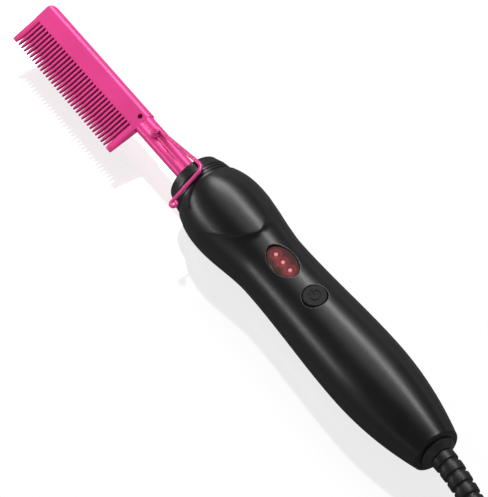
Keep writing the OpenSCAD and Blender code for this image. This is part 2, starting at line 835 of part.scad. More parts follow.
module flange_screws() {
    color([0.6, 0.6, 0.62])
        for (y = [-flange_screw_side, flange_screw_side])
            translate([-(nose_s - nose_wall - ceramic_t), y, 0]) {
                rotate([0, -90, 0]) cylinder(h = ceramic_t + nose_wall - flange_screw_short, r = flange_screw_r, $fn = 32);
                rotate([0, 90, 0]) cylinder(h = flange_head_t, r = flange_head_r, $fn = 32);
            }
}

module neck_clamp() {
    color([0.7, 0.7, 0.72]) difference() {
        disc(nose_s - nose_wall - ceramic_t - clamp_t - air, nose_s - nose_wall - ceramic_t - air, clamp_r);
        run(nose_s - nose_wall - ceramic_t - clamp_t - 1, nose_s) neck_section(fit);
    }
}

/* ---- wire rest ---- */

// The whole rest is one bent wire: an eye round the screw, open where its end meets the leg,
// the leg, the crossbar and a small curl
wire_sides = 12;
hook_turn = 270;
hook_steps = 18;
eye_centre = [-pivot_s, pivot_y, eye_z];
leg_foot = eye_centre + [foot_turn, eye_r, 0];
leg_way = unit(corner - leg_foot);
eye_arc = [for (i = [0 : hook_steps])
    let (a = 90 + hook_turn * (1 - i / hook_steps))
    eye_centre + eye_r * [cos(a), sin(a), 0]];
corner_bend = [for (t = [0 : 0.125 : 1])
    pow(1 - t, 2) * (corner - bend_r * leg_way) + 2 * t * (1 - t) * corner
    + t * t * (corner + bend_r * bar_way)];
curl_arc = [for (i = [0 : hook_steps])
    let (a = hook_turn * i / hook_steps)
    curl_at + curl_r * (sin(a) * bar_way - cos(a) * [cos(bar_lean), sin(bar_lean), 0])];

module wire_rest() {
    path = concat(eye_arc, [leg_foot - [0.3 * foot_turn, 0, 0], leg_foot + 0.3 * foot_turn * leg_way],
                  corner_bend, curl_arc);
    color([0.9, 0.29, 0.58]) tube(path, [for (p = path) wire_r], wire_sides);
}

/* ---- board, lamps, window, button ---- */

module circuit_board() {
    color([0.1, 0.4, 0.2]) difference() {
        translate([-(board_pos + board_len), -board_w / 2, board_h]) cube([board_len, board_w, board_t]);
        at_board_screws() cylinder(h = board_top + 1, r = board_screw_r + fit, $fn = 48);
    }
}

module power_components() {
    color([0.2, 0.2, 0.45]) {
        for (block = COMPONENT_BLOCKS)
            translate([-(board_pos + block[0]), -block[2] / 2, board_h - block[3]])
                cube([block[1], block[2], block[3]]);
        upright(board_pos + capacitor_in, 0, board_h - capacitor_h, board_h, capacitor_r);
    }
}

module board_screws() {
    color([0.6, 0.6, 0.62]) at_board_screws() {
        translate([0, 0, board_h - board_head_t]) cylinder(h = board_head_t, r = board_head_r, $fn = 32);
        translate([0, 0, board_h]) cylinder(h = board_t + board_bite, r = board_screw_r, $fn = 32);
    }
}

module indicator_lamps() {
    lamp_r = lamp_d / 2;
    color([1, 0.25, 0.2])
        for (i = [0 : lamp_count - 1])
            translate([-window_pos + (i - (lamp_count - 1) / 2) * lamp_pitch, 0, 0]) {
                translate([0, 0, board_top]) cylinder(h = lamp_top - lamp_r - board_top, r = lamp_r, $fn = 48);
                translate([0, 0, lamp_top - lamp_r]) sphere(r = lamp_r, $fn = 48);
            }
}

module window_lens() {
    color([0.35, 0.08, 0.08, 0.6])
        translate([0, 0, lens_bottom]) linear_extrude(lens_t) window_outline(-seat);
}

module tactile_switch() {
    color([0.25, 0.25, 0.27]) difference() {
        translate([-button_pos - switch_side / 2, -switch_side / 2, board_top])
            cube([switch_side, switch_side, switch_h]);
        upright(button_pos, 0, switch_top - plunger_in - button_travel - air, switch_top + 1, plunger_r + fit);
    }
}

module switch_plunger() {
    color([0.8, 0.8, 0.78])
        upright(button_pos, 0, switch_top - plunger_in, switch_top + plunger_h, plunger_r);
}

module power_button() {
    color([0.15, 0.15, 0.16]) difference() {
        union() {
            translate([-button_pos, 0, 0]) rotate_extrude() polygon(concat(
                [[0, flange_top - button_flange_t], [button_flange_r, flange_top - button_flange_t],
                 [button_flange_r, flange_top], [button_r, flange_top]],
                [for (a = [0 : 30 : 90])
                    [button_r - rim_round * (1 - cos(a)), button_top - rim_round * (1 - sin(a))]],
                [[0, button_top]]));
            upright(button_pos, 0, switch_top + plunger_h, flange_top, stem_r);
        }
        translate([-button_pos, 0, button_top - icon_depth]) {
            rotate(icon_gap / 2 + 180) rotate_extrude(angle = 360 - icon_gap)
                translate([icon_r - icon_w / 2, 0]) square([icon_w, 1]);
            translate([-icon_r - 0.5, -icon_w / 2, 0]) cube([icon_r, icon_w, 1]);
        }
    }
}

/* ---- swivel and mains side ---- */

module swivel_bush() {
    color([0.85, 0.85, 0.8]) difference() {
        union() {
            disc(0, end_wall, bush_r);
            disc(end_wall, end_wall + bush_flange_t, bush_flange_r);
        }
        disc(-1, end_wall + bush_flange_t + 1, journal_r + fit);
    }
}

module swivel_gland() {
    color([0.12, 0.12, 0.13]) {
        turned([[0, -relief_x], [collar_end_d / 2, -relief_x], [collar_d / 2, -air - collar_rim],
                [collar_d / 2, -air], [journal_r, -air], [journal_r, retainer_s],
                [retainer_r, retainer_s], [retainer_r, retainer_s + retainer_t],
                [stub_r, retainer_s + retainer_t], [stub_r, stub_end_s], [0, stub_end_s]]);
    }
}

module slip_rings() {
    color([0.85, 0.65, 0.3])
        for (i = [0, 1])
            difference() {
                disc(slip_first_s + i * slip_pitch, slip_first_s + i * slip_pitch + slip_ring_w, slip_ring_r);
                disc(slip_first_s + i * slip_pitch - 1, slip_first_s + i * slip_pitch + slip_ring_w + 1, stub_r);
            }
}

module contact_carrier() {
    color([0.8, 0.78, 0.7])
        translate([-carrier_front_s, -carrier_w / 2, carrier_top - carrier_t])
            cube([carrier_front_s - carrier_rear_s, carrier_w, carrier_t]);
}

module contact_brushes() {
    color([0.85, 0.65, 0.3])
        for (i = [0, 1])
            translate([-(slip_first_s + i * slip_pitch + slip_ring_w / 2) - brush_w / 2, -brush_reach / 2, carrier_top])
                cube([brush_w, brush_reach, brush_t]);
}

module supply_leads() {
    color([0.1, 0.1, 0.1])
        for (side = [-1, 1])
            lead_to_board(carrier_front_s, side * supply_side, -supply_drop, board_pos + supply_in, supply_r);
}

// Segments of the strain relief: a wide land, then a narrow groove, shrinking to its end
module strain_relief() {
    marks = [for (i = [0 : relief_ribs - 1])
        each [[i + 0.0, 1], [i + 0.06, 0], [i + 0.74, 0], [i + 0.8, 1]]];
    steps = concat([for (m = marks) [m[0] / relief_ribs, m[1]]], [[1, 1]]);
    path = [for (m = steps) relief_point(m[0])];
    radii = [for (m = steps) mix(relief_d, relief_end_d, m[0]) / 2 - relief_groove * m[1]];
    color([0.11, 0.11, 0.12]) tube(path, radii, relief_sides, [1, 0, 0], relief_way(1));
}

/* ---- cord, hank, tie and plug: these lie on the floor, in placed coordinates ---- */

// Free stretch, at a distance x past the relief's end. It leaves in the relief's direction.
relief_end_way = relief_way(1);
relief_tip_h = relief_tip[2] + axis_h;
function leave(t, to, slope) = to * ease(t) + slope * t * pow(1 - t, 2);
function cord_point(x) =
    let (side = leave(x / free_len, -hank_out_r - relief_tip[1],
                      free_len * relief_end_way[1] / relief_end_way[0]),
         drop = leave(min(x / free_drop, 1), hank_low - relief_tip_h,
                      free_drop * relief_end_way[2] / relief_end_way[0]))
    [relief_tip[0] + x, relief_tip[1] + side, relief_tip_h + drop];
cord_path = [for (i = [0 : free_steps]) cord_point(free_len * i / free_steps)];

// The hank: long loops in layers, wound in towards the middle on the lowest layer, out again
// on the next, and so on. Where one layer goes over into the next, the cord climbs and its
// radius turns round smoothly.
hank_start = cord_path[free_steps] + [cord_d, 0, 0];
hank_total = hank_layers * hank_turns - 1;   // whole turns before the last straight
function next_layer(turn) = round(turn / hank_turns);
function past_climb(turn) = turn - next_layer(turn) * hank_turns;
function climbs(turn) =
    next_layer(turn) > 0 && next_layer(turn) < hank_layers && abs(past_climb(turn)) < climb_share;
function layer_of(turn) = min(floor(turn / hank_turns), hank_layers - 1);
function hank_radius(turn) =
    let (along = turn - layer_of(turn) * hank_turns,
         eased = climb_share / 2 + pow(past_climb(turn), 2) / (2 * climb_share))
    climbs(turn)
        ? (next_layer(turn) % 2 == 1 ? hank_in_r + hank_pitch * eased : hank_out_r - hank_pitch * eased)
        : hank_out_r - hank_pitch * (layer_of(turn) % 2 == 0 ? along : hank_turns - along);
function hank_height(turn) =
    hank_low + hank_pitch * (climbs(turn)
        ? next_layer(turn) - 1 + ease(past_climb(turn) / (2 * climb_share) + 0.5) : layer_of(turn));
function hank_point(turn) =
    let (u = turn - floor(turn), back = u >= 0.5, v = back ? u - 0.5 : u, side = back ? -1 : 1,
         r = hank_radius(turn), gone = min(v / straight_share, 1) * hank_straight,
         a = 180 * max(v - straight_share, 0) / (0.5 - straight_share))
    [hank_start[0] + (back ? hank_straight - gone : gone) + side * r * sin(a), -side * r * cos(a),
     hank_height(turn)];
half_turn = concat([0, straight_share / 2, straight_share],
    [for (i = [1 : arc_steps - 1]) mix(straight_share, 0.5, i / arc_steps)]);
hank_end = hank_point(hank_total + straight_share);
function tail_point(d) =
    let (share = ease(min(max((d - tail_run) / (hank_tail - tail_run - tail_end), 0), 1)))
    hank_end + [d, plug_side * share, (plug_axis - hank_high) * share];
hank_line = concat([hank_start - [cord_d, 0, 0]],
    [for (turn = [0 : 0.5 : hank_total - 0.5], u = half_turn) hank_point(turn + u)],
    [for (u = [0, straight_share / 2, straight_share]) hank_point(hank_total + u)],
    [for (i = [0 : tail_steps]) tail_point(mix(tail_run, hank_tail - tail_end, i / tail_steps))],
    [tail_point(hank_tail)]);

module power_cord() {
    color([0.12, 0.12, 0.13])
        tube(cord_path, [for (p = cord_path) cord_r], cord_sides, relief_end_way, [1, 0, 0]);
}

module cord_coil() {
    color([0.12, 0.12, 0.13])
        tube(hank_line, [for (p = hank_line) cord_r], hank_sides, [1, 0, 0], [1, 0, 0]);
}

// The tie is a band round the hank's middle
tie_from = -hank_out_r - cord_r - tie_slack;
tie_to = max([for (turn = [0.5 : hank_total - 0.5]) hank_radius(turn + straight_share / 2)])
    + cord_r + tie_slack;
tie_high = hank_high + cord_r + tie_slack;
module cord_tie() {
    color([0.16, 0.16, 0.17])
        translate([hank_start[0] + (hank_straight - tie_w) / 2, 0, 0]) rotate([90, 0, 90])
            linear_extrude(tie_w) difference() {
                translate([tie_from - tie_t, 0]) square([tie_to - tie_from + 2 * tie_t, tie_high + tie_t]);
                translate([tie_from, tie_t]) square([tie_to - tie_from, tie_high - tie_t]);
            }
}

// Stands children at the plug's end of the cord, with +X pointing onwards along the cord
module at_plug(forward) {
    translate([hank_end[0] + hank_tail + forward, hank_end[1] + plug_side, 0]) children();
}

module plug_body() {
    color([0.12, 0.12, 0.13]) {
        at_plug(0) translate([0, 0, plug_axis]) rotate([0, 90, 0])
            cylinder(h = plug_boot_len + 1, r1 = plug_boot_r, r2 = plug_boot_end_r);
        at_plug(plug_boot_len) rotate([90, 0, 90]) linear_extrude(plug_len) {
            for (y = [-1, 1], z = [plug_round, plug_h - plug_round])
                translate([y * (plug_w / 2 - plug_round), z]) circle(r = plug_round, $fn = 48);
            translate([-plug_w / 2, plug_round]) square([plug_w, plug_h - 2 * plug_round]);
            translate([-plug_w / 2 + plug_round, 0]) square([plug_w - 2 * plug_round, plug_h]);
        }
    }
}

module plug_blades() {
    color([0.8, 0.8, 0.75])
        for (side = [-1, 1])
            at_plug(plug_boot_len + plug_len)
                translate([0, side * blade_gap / 2 - blade_t / 2, plug_axis - blade_w / 2]) difference() {
                    cube([blade_len, blade_t, blade_w]);
                    translate([blade_len - blade_hole_in, -1, blade_w / 2]) rotate([-90, 0, 0])
                        cylinder(h = blade_t + 2, r = blade_hole_r, $fn = 32);
                }
}

// Least distance between two turns, on the points of the hank's centre line
turn_points = len(half_turn);
hank_self_gap = min([for (i = [0 : len(hank_line) - turn_points - 1])
    min([for (j = [i + turn_points : len(hank_line) - 1]) norm(hank_line[i] - hank_line[j])])]) - cord_d;
echo(hank_self_gap = hank_self_gap);

// Length of the cord, free stretch and hank together
function path_length(path) = sum([for (i = [1 : len(path) - 1]) norm(path[i] - path[i - 1])]);
echo(cord_length = path_length(cord_path) + path_length(hank_line));
echo(offset_x = -(front_x + rear_x) / 2, offset_y = -(low_y + high_y) / 2, pivot_s = pivot_s,
     pivot_at = [rolled_y(pivot_y, eye_z), rolled_z(pivot_y, eye_z)], comb_s = comb_s, tip_s = tip_s,
     slot_count = slot_count);
echo(hank_start = hank_start, hank_end = hank_end, relief_tip = relief_tip);

/* ---- what is drawn ---- */

placed() upper_shell();
placed() lower_shell();
placed() rolled() nose_collar();
placed() rolled() comb_head();
placed() rolled() neck_tube();
placed() rolled() pivot_screw();
placed() rolled() set_screw();
placed() rolled() ceramic_heater();
placed() rolled() temperature_sensor();
placed() heater_leads();
placed() sensor_lead();
placed() rolled() insulating_sleeve();
placed() rolled() ceramic_flange();
placed() rolled() flange_screws();
placed() rolled() neck_clamp();
placed() circuit_board();
placed() power_components();
placed() board_screws();
placed() indicator_lamps();
placed() window_lens();
placed() tactile_switch();
placed() switch_plunger();
placed() power_button();
placed() shell_screws();
placed() rolled() wire_rest();
placed() swivel_bush();
placed() swivel_gland();
placed() slip_rings();
placed() contact_carrier();
placed() contact_brushes();
placed() supply_leads();
placed() strain_relief();
laid() power_cord();
laid() cord_coil();
laid() cord_tie();
laid() plug_body();
laid() plug_blades();
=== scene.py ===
import math

import bmesh
import bpy
from mathutils import Matrix, Vector


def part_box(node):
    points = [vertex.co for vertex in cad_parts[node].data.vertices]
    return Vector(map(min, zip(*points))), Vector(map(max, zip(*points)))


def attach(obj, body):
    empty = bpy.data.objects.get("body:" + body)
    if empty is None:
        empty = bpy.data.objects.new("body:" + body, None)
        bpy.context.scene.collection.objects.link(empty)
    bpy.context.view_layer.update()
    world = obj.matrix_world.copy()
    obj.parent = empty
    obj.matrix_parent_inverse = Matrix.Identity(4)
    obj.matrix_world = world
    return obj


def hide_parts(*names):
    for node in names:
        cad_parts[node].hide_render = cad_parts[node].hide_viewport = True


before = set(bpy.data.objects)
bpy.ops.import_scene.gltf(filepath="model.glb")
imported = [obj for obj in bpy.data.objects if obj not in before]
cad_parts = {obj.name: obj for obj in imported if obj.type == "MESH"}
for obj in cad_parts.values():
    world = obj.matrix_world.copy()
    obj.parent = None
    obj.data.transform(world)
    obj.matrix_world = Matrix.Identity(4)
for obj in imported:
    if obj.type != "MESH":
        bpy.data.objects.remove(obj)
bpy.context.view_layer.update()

# ---------------------------------------------------------------------------
# Studio: a white floor that mirrors the object faintly, two long soft lamps that lie along the
# handle, a small rectangular one over the comb, and a long-lens camera that looks down on the
# button face from the cord's side. Glossy rays don't see the white world: they see a dim ceiling
# over a lighter horizon, a grey floor, and a white panel in the camera's mirrored direction.
handle_low, handle_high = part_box("upper_shell")
rear_end = Vector((handle_high.x, (handle_low.y + handle_high.y) / 2, handle_low.z))
camera_azimuth = math.radians(58.8)
camera_elevation = math.radians(57.9)
camera_roll = math.radians(-6.0)
camera_lens = 1200.0
picture_tall = 0.2259          # height of the picture at the middle of the handle
aim_right, aim_up = -0.0868, 0.0914    # from the handle's rear end to the picture's middle
middle_depth = 0.07            # the middle of the handle lies this far behind its rear end

scene = bpy.context.scene
scene.view_settings.view_transform = "Standard"
back = Vector((math.sin(camera_azimuth) * math.cos(camera_elevation),
               -math.cos(camera_azimuth) * math.cos(camera_elevation),
               math.sin(camera_elevation)))
level = Vector((math.cos(camera_azimuth), math.sin(camera_azimuth), 0))
right = level * math.cos(camera_roll) + back.cross(level) * math.sin(camera_roll)
up = back.cross(right)
camera_data = bpy.data.cameras.new("camera")
camera = bpy.data.objects.new("camera", camera_data)
scene.collection.objects.link(camera)
scene.camera = camera
camera_data.lens = camera_lens
camera_data.sensor_width = 36.0
distance = camera_lens / camera_data.sensor_width * picture_tall - middle_depth
camera_data.clip_start, camera_data.clip_end = 0.01, 100.0
camera.matrix_world = Matrix.Translation(
    rear_end + right * aim_right + up * aim_up + back * distance
) @ Matrix((right, up, back)).transposed().to_4x4()


def soft_lamp(name, towards, reach, size_x, size_y, power, forward=0.0):
    """A long area lamp in the direction given from the middle of the handle, moved forward."""
    lamp = bpy.data.lights.new(name, "AREA")
    lamp.shape = "RECTANGLE"
    lamp.size, lamp.size_y = size_x, size_y
    lamp.energy = power
    thing = bpy.data.objects.new(name, lamp)
    scene.collection.objects.link(thing)
    way = Vector(towards).normalized()
    aim = rear_end + Vector((-0.12, 0, 0))
    side = Vector((1, 0, 0))
    side = (side - way * side.dot(way)).normalized()
    thing.matrix_world = Matrix.Translation(aim + way * reach - side * forward) @ Matrix(
        (side, way.cross(side), way)).transposed().to_4x4()
    return thing


soft_lamp("lamp_spine_side", (-0.35, 0.47, 0.76), 0.9, 1.5, 0.15, 6.5)
soft_lamp("lamp_comb", (-0.45, 0.25, 0.85), 0.42, 0.20, 0.025, 0.16, 0.15)
soft_lamp("lamp_teeth_side", (-0.45, -0.90, 0.26), 0.9, 0.8, 0.10, 2.3, 0.36)

white = (1, 1, 1, 1)
fill_strength = 0.62
horizon_low, horizon_high = 0.04, 0.22      # height of a ray between horizon and ceiling
horizon_glow, ceiling_glow = 0.6, 0.07
panel_whole, panel_edge = math.radians(18), math.radians(34)


def add_node(tree, kind, inputs=(), operation=None):
    """A node of a tree; inputs are the values of its sockets by name or number."""
    node = tree.nodes.new(kind)
    if operation:
        node.operation = operation
    for key, value in dict(inputs).items():
        node.inputs[key].default_value = value
    return node


def map_range(tree, from_min, from_max, to_min=0.0, to_max=1.0, smooth=False):
    node = add_node(tree, "ShaderNodeMapRange", {"From Min": from_min, "From Max": from_max,
                                                 "To Min": to_min, "To Max": to_max})
    if smooth:
        node.interpolation_type = "SMOOTHSTEP"
    return node


def mix_colour(tree, one, other):
    node = tree.nodes.new("ShaderNodeMix")
    node.data_type = "RGBA"
    node.inputs["A"].default_value = (*one, 1)
    node.inputs["B"].default_value = (*other, 1)
    return node


def wire(tree, *links):
    """Links of a tree: the node and output each leaves, the node and input it enters."""
    for start, leaves, end, enters in links:
        tree.links.new(start.outputs[leaves], end.inputs[enters])


def new_paint(name):
    paint = bpy.data.materials.new(name)
    paint.use_nodes = True
    return paint, paint.node_tree, paint.node_tree.nodes["Principled BSDF"]


world = bpy.data.worlds.new("studio")
scene.world = world
world.use_nodes = True
sky = world.node_tree
sky.nodes.clear()
world_out = add_node(sky, "ShaderNodeOutputWorld")
backdrop = add_node(sky, "ShaderNodeBackground", {"Color": white, "Strength": 1.0})
fill_light = add_node(sky, "ShaderNodeBackground", {"Color": white, "Strength": fill_strength})
dim_ceiling = add_node(sky, "ShaderNodeBackground", {"Color": white})
way_in = add_node(sky, "ShaderNodeTexCoord")
way_parts = add_node(sky, "ShaderNodeSeparateXYZ")
horizon = map_range(sky, horizon_low, horizon_high, horizon_glow, ceiling_glow, True)
towards_panel = add_node(sky, "ShaderNodeVectorMath", {1: (-back.x, -back.y, back.z)},
                         "DOT_PRODUCT")
panel = map_range(sky, math.cos(panel_edge), math.cos(panel_whole), smooth=True)
brighter = add_node(sky, "ShaderNodeMath", operation="MAXIMUM")
path = add_node(sky, "ShaderNodeLightPath")
seen_through = add_node(sky, "ShaderNodeMath", operation="MAXIMUM")
choose_glossy = add_node(sky, "ShaderNodeMixShader")
choose_seen = add_node(sky, "ShaderNodeMixShader")
wire(sky, (way_in, "Generated", way_parts, 0), (way_in, "Generated", towards_panel, 0),
     (way_parts, "Z", horizon, "Value"), (towards_panel, "Value", panel, "Value"),
     (horizon, "Result", brighter, 0), (panel, "Result", brighter, 1),
     (brighter, 0, dim_ceiling, "Strength"), (path, "Is Camera Ray", seen_through, 0),
     (path, "Is Transmission Ray", seen_through, 1), (path, "Is Glossy Ray", choose_glossy, "Fac"),
     (fill_light, 0, choose_glossy, 1), (dim_ceiling, 0, choose_glossy, 2),
     (seen_through, 0, choose_seen, "Fac"), (choose_glossy, 0, choose_seen, 1),
     (backdrop, 0, choose_seen, 2), (choose_seen, 0, world_out, "Surface"))

floor_half, floor_sunk = 2.5, 0.0005
floor_mesh = bpy.data.meshes.new("floor")
floor_mesh.from_pydata([(x * floor_half, y * floor_half, 0)
                        for x, y in ((-1, -1), (1, -1), (1, 1), (-1, 1))], [], [(0, 1, 2, 3)])
floor = bpy.data.objects.new("floor", floor_mesh)
floor.location.z = -floor_sunk
scene.collection.objects.link(floor)
floor_paint, tree, _ = new_paint("white_floor")
tree.nodes.clear()
out = add_node(tree, "ShaderNodeOutputMaterial")
matt = add_node(tree, "ShaderNodeBsdfDiffuse", {"Color": (0.92, 0.92, 0.92, 1)})
grey_matt = add_node(tree, "ShaderNodeBsdfDiffuse", {"Color": (0.15, 0.15, 0.15, 1)})
glow = add_node(tree, "ShaderNodeEmission", {"Color": white, "Strength": 1.0})
mirror = add_node(tree, "ShaderNodeBsdfGlossy", {"Color": white, "Roughness": 0.08})
pale = add_node(tree, "ShaderNodeMixShader", {"Fac": 0.94})
polish = add_node(tree, "ShaderNodeMixShader", {"Fac": 0.15})
seen = add_node(tree, "ShaderNodeLightPath")
mirrored = add_node(tree, "ShaderNodeMixShader")
by_ray = add_node(tree, "ShaderNodeMixShader")
wire(tree, (matt, 0, pale, 1), (glow, 0, pale, 2), (pale, 0, polish, 1), (mirror, 0, polish, 2),
     (seen, "Is Camera Ray", by_ray, "Fac"), (seen, "Is Glossy Ray", mirrored, "Fac"),
     (matt, 0, mirrored, 1), (grey_matt, 0, mirrored, 2), (mirrored, 0, by_ray, 1),
     (polish, 0, by_ray, 2), (by_ray, 0, out, "Surface"))
floor_mesh.materials.append(floor_paint)

# ---------------------------------------------------------------------------
# Mains cord: 1.8 m of round PVC-sheathed flex, 6 mm thick. It leaves the strain relief, drops to
# the floor and lies in a tied hank of long loops in four layers, with the plug at its far end.
cord_diameter = 0.006
relief_length = 0.044
relief_bend = math.radians(13)
relief_roll = math.radians(40)
relief_start = Vector((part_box("swivel_gland")[1].x, rear_end.y, rear_end.z))


def relief_way(t):
    a = relief_bend * (1 - (1 - t) ** 3)
    return Vector((math.cos(a), -math.sin(a) * math.sin(relief_roll),
                   -math.sin(a) * math.cos(relief_roll)))


def relief_point(t, steps=24):
    h = t / steps
    spot = relief_start.copy()
    for i in range(steps):
        spot += relief_way(h * (i + 0.5)) * relief_length * h
    return spot


def ease(t):
    t = min(max(t, 0.0), 1.0)
    return t * t * (3 - 2 * t)


free_reach, free_drop, free_steps = 0.068, 0.044, 24
tie_thick = 0.0009
hank_layers, hank_turns = 4, 2
hank_straight = 0.074
hank_outer = 0.020
hank_pitch = cord_diameter + 0.0006
hank_inner = hank_outer - hank_turns * hank_pitch
hank_low = tie_thick + 0.00005 + cord_diameter / 2
hank_high = hank_low + (hank_layers - 1) * hank_pitch
climb = 0.25
arc_steps = 20
tail_run, tail_drop, tail_end = 0.012, 0.034, 0.004
plug_axis = 0.0105
plug_side = 0.003
straight_share = hank_straight / (2 * hank_straight + math.pi * (hank_outer + hank_inner))
relief_tip = relief_point(1.0)
leaving = relief_way(1.0)


def free_point(x):
    t = x / free_reach
    d = min(x / free_drop, 1)
    side = (rear_end.y - hank_outer - relief_tip.y) * ease(t)
    side += free_reach * leaving.y / leaving.x * t * (1 - t) ** 2
    drop = (hank_low - relief_tip.z) * ease(d)
    drop += free_drop * leaving.z / leaving.x * d * (1 - d) ** 2
    return relief_tip + Vector((x, side, drop))


hank_start = free_point(free_reach) + Vector((cord_diameter, 0, 0))


def hank_point(turn):
    """A point of the hank, counted in turns from its start. Even layers wind in, odd ones out."""
    nearest = round(turn / hank_turns)
    past = turn - nearest * hank_turns
    layer = min(int(turn / hank_turns), hank_layers - 1)
    along = turn - layer * hank_turns
    height = layer
    radius = hank_outer - hank_pitch * (along if layer % 2 == 0 else hank_turns - along)
    if 0 < nearest < hank_layers and abs(past) < climb:
        turned = hank_pitch * (climb / 2 + past ** 2 / (2 * climb))
        radius = hank_inner + turned if nearest % 2 else hank_outer - turned
        height = nearest - 1 + ease(past / (2 * climb) + 0.5)
    part = turn % 1
    side = 1 if part < 0.5 else -1
    part %= 0.5
    gone = min(part / straight_share, 1) * hank_straight
    a = math.pi * max(part - straight_share, 0) / (0.5 - straight_share)
    x = (gone if side > 0 else hank_straight - gone) + side * radius * math.sin(a)
    y = hank_outer - side * radius * math.cos(a)
    return hank_start + Vector((x, y, height * hank_pitch))


hank_total = hank_layers * hank_turns - 1
half_turn = [straight_share * i / 4 for i in range(4)]
half_turn += [straight_share + (0.5 - straight_share) * i / arc_steps for i in range(arc_steps)]
hank_end = hank_point(hank_total + straight_share)
route = [free_point(free_reach * i / free_steps) for i in range(free_steps + 1)]
route += [hank_point(half / 2 + part) for half in range(2 * hank_total) for part in half_turn]
route += [hank_point(hank_total + straight_share * i / 4) for i in range(5)]
for i in range(1, 17):
    far = (tail_run + tail_drop + tail_end) * i / 16
    share = ease((far - tail_run) / tail_drop)
    route.append(hank_end + Vector((far, plug_side * share, (plug_axis - hank_high) * share)))
cord_curve = bpy.data.curves.new("mains_cord", "CURVE")
cord_curve.dimensions = "3D"
cord_curve.bevel_depth = cord_diameter / 2
cord_curve.bevel_resolution = 6
cord_curve.use_fill_caps = True
line = cord_curve.splines.new("POLY")
line.points.add(len(route) - 1)
for knot, spot in zip(line.points, route):
    knot.co = (*spot, 1)
line.use_smooth = True
mains_cord = bpy.data.objects.new("mains_cord", cord_curve)
scene.collection.objects.link(mains_cord)


def moulded(name, colour, roughness, grain=900.0, depth=0.00004, uneven=0.06, level=0.5):
    """Moulded plastic or rubber: a fine grain in the surface, and a sheen that is a little uneven."""
    paint, tree, shader = new_paint(name)
    shader.inputs["Specular IOR Level"].default_value = level
    spot = add_node(tree, "ShaderNodeTexCoord")
    cloud = add_node(tree, "ShaderNodeTexNoise", {"Scale": 60.0, "Detail": 4.0})
    tone = mix_colour(tree, [c * 0.86 for c in colour], [c * 1.14 for c in colour])
    shine = map_range(tree, 0.0, 1.0, roughness - uneven, roughness + uneven)
    fine = add_node(tree, "ShaderNodeTexNoise", {"Scale": grain, "Detail": 3.0})
    bump = add_node(tree, "ShaderNodeBump", {"Strength": 0.5, "Distance": depth})
    wire(tree, (spot, "Object", cloud, "Vector"), (spot, "Object", fine, "Vector"),
         (cloud, "Fac", tone, "Factor"), (cloud, "Fac", shine, "Value"),
         (tone, "Result", shader, "Base Color"), (shine, "Result", shader, "Roughness"),
         (fine, "Fac", bump, "Height"), (bump, "Normal", shader, "Normal"))
    return paint


cord_curve.materials.append(moulded("cord_sheath", (0.022, 0.022, 0.024), 0.48, 700.0))
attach(mains_cord, "root")
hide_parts("power_cord", "cord_coil")


# ---------------------------------------------------------------------------
# Strain relief: soft rubber moulded on to the cord, seven lands with grooves between them that
# let it bend. It stays with the handle, because the cord lies in its hank on the floor.
def closed_mesh(name, points, faces):
    mesh = bpy.data.meshes.new(name)
    shape = bmesh.new()
    verts = [shape.verts.new(p) for p in points]
    for face in faces:
        if len(set(face)) > 2:
            shape.faces.new([verts[i] for i in face])
    bmesh.ops.remove_doubles(shape, verts=shape.verts, dist=2e-7)
    bmesh.ops.recalc_face_normals(shape, faces=shape.faces)
    shape.to_mesh(mesh)
    shape.free()
    return mesh


def piece(name, points, faces, body, slot, paint, replaced=(), sharp=35):
    """A closed mesh piece that rides a body and wears the paint given."""
    mesh = closed_mesh(name, points, faces)
    mesh.materials.append(paint)
    mesh.shade_smooth()
    mesh.set_sharp_from_angle(angle=math.radians(sharp))
    thing = bpy.data.objects.new(name, mesh)
    scene.collection.objects.link(thing)
    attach(thing, body)
    if replaced:
        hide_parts(*replaced)
    return thing


def loft(rings, wrap=False):
    """Points and faces of a skin over rings of equal count; closed on itself, or capped."""
    count = len(rings[0])
    points = [p for ring in rings for p in ring]
    faces = []
    for i in range(len(rings) - (0 if wrap else 1)):
        a, b = i * count, (i + 1) % len(rings) * count
        faces += [(a + k, a + (k + 1) % count, b + (k + 1) % count, b + k) for k in range(count)]
    if not wrap:
        faces += [tuple(range(count)), tuple(range(len(points) - count, len(points)))]
    return points, faces


def around(sides):
    """Cosine and sine of even angles, once round."""
    return [(math.cos(2 * math.pi * k / sides), math.sin(2 * math.pi * k / sides))
            for k in range(sides)]


def ring_about(centre, way, radius, sides=64):
    across = Vector((0, 0, 1)).cross(way).normalized()
    other = way.cross(across)
    return [centre + radius * (across * c + other * d) for c, d in around(sides)]


relief_radius, relief_end_radius = 0.0060, 0.0052
relief_ribs = 7
rib_groove = 0.0009
rib_profile = [(0.0, 1), (0.035, 0.9), (0.06, 0.35), (0.09, 0.08), (0.13, 0), (0.40, 0), (0.67, 0),
               (0.71, 0.08), (0.74, 0.35), (0.765, 0.9), (0.80, 1), (0.90, 1)]
relief_rings = []
for i in range(relief_ribs):
    for mark, sunk in rib_profile:
        t = (i + mark) / relief_ribs
        wide = relief_radius + (relief_end_radius - relief_radius) * t - rib_groove * sunk
        relief_rings.append(ring_about(relief_point(t), relief_way(t), wide))
relief_rings.append(ring_about(relief_tip, leaving, relief_end_radius - rib_groove))
relief_paint = moulded("relief_rubber", (0.009, 0.009, 0.010), 0.42, 800.0)
piece("strain_relief_rubber", *loft(relief_rings), "root", "relief_rubber", relief_paint,
      ["strain_relief"])

# ---------------------------------------------------------------------------
# Swivelling gland: a glass-filled nylon collar that turns in the handle's end. It carries the
# slip rings inside, and the cord leaves through its middle.
gland_gap = 0.0003
gland_rim = 0.0006
gland_radius, gland_end_radius = 0.009, 0.0063
journal_radius = 0.007


def circles(outline, sides=96):
    """Rings about the handle's axis, from pairs of distance forward of the rear end and radius."""
    return [[rear_end + Vector((-s, radius * c, radius * d)) for c, d in around(sides)]
            for s, radius in outline]


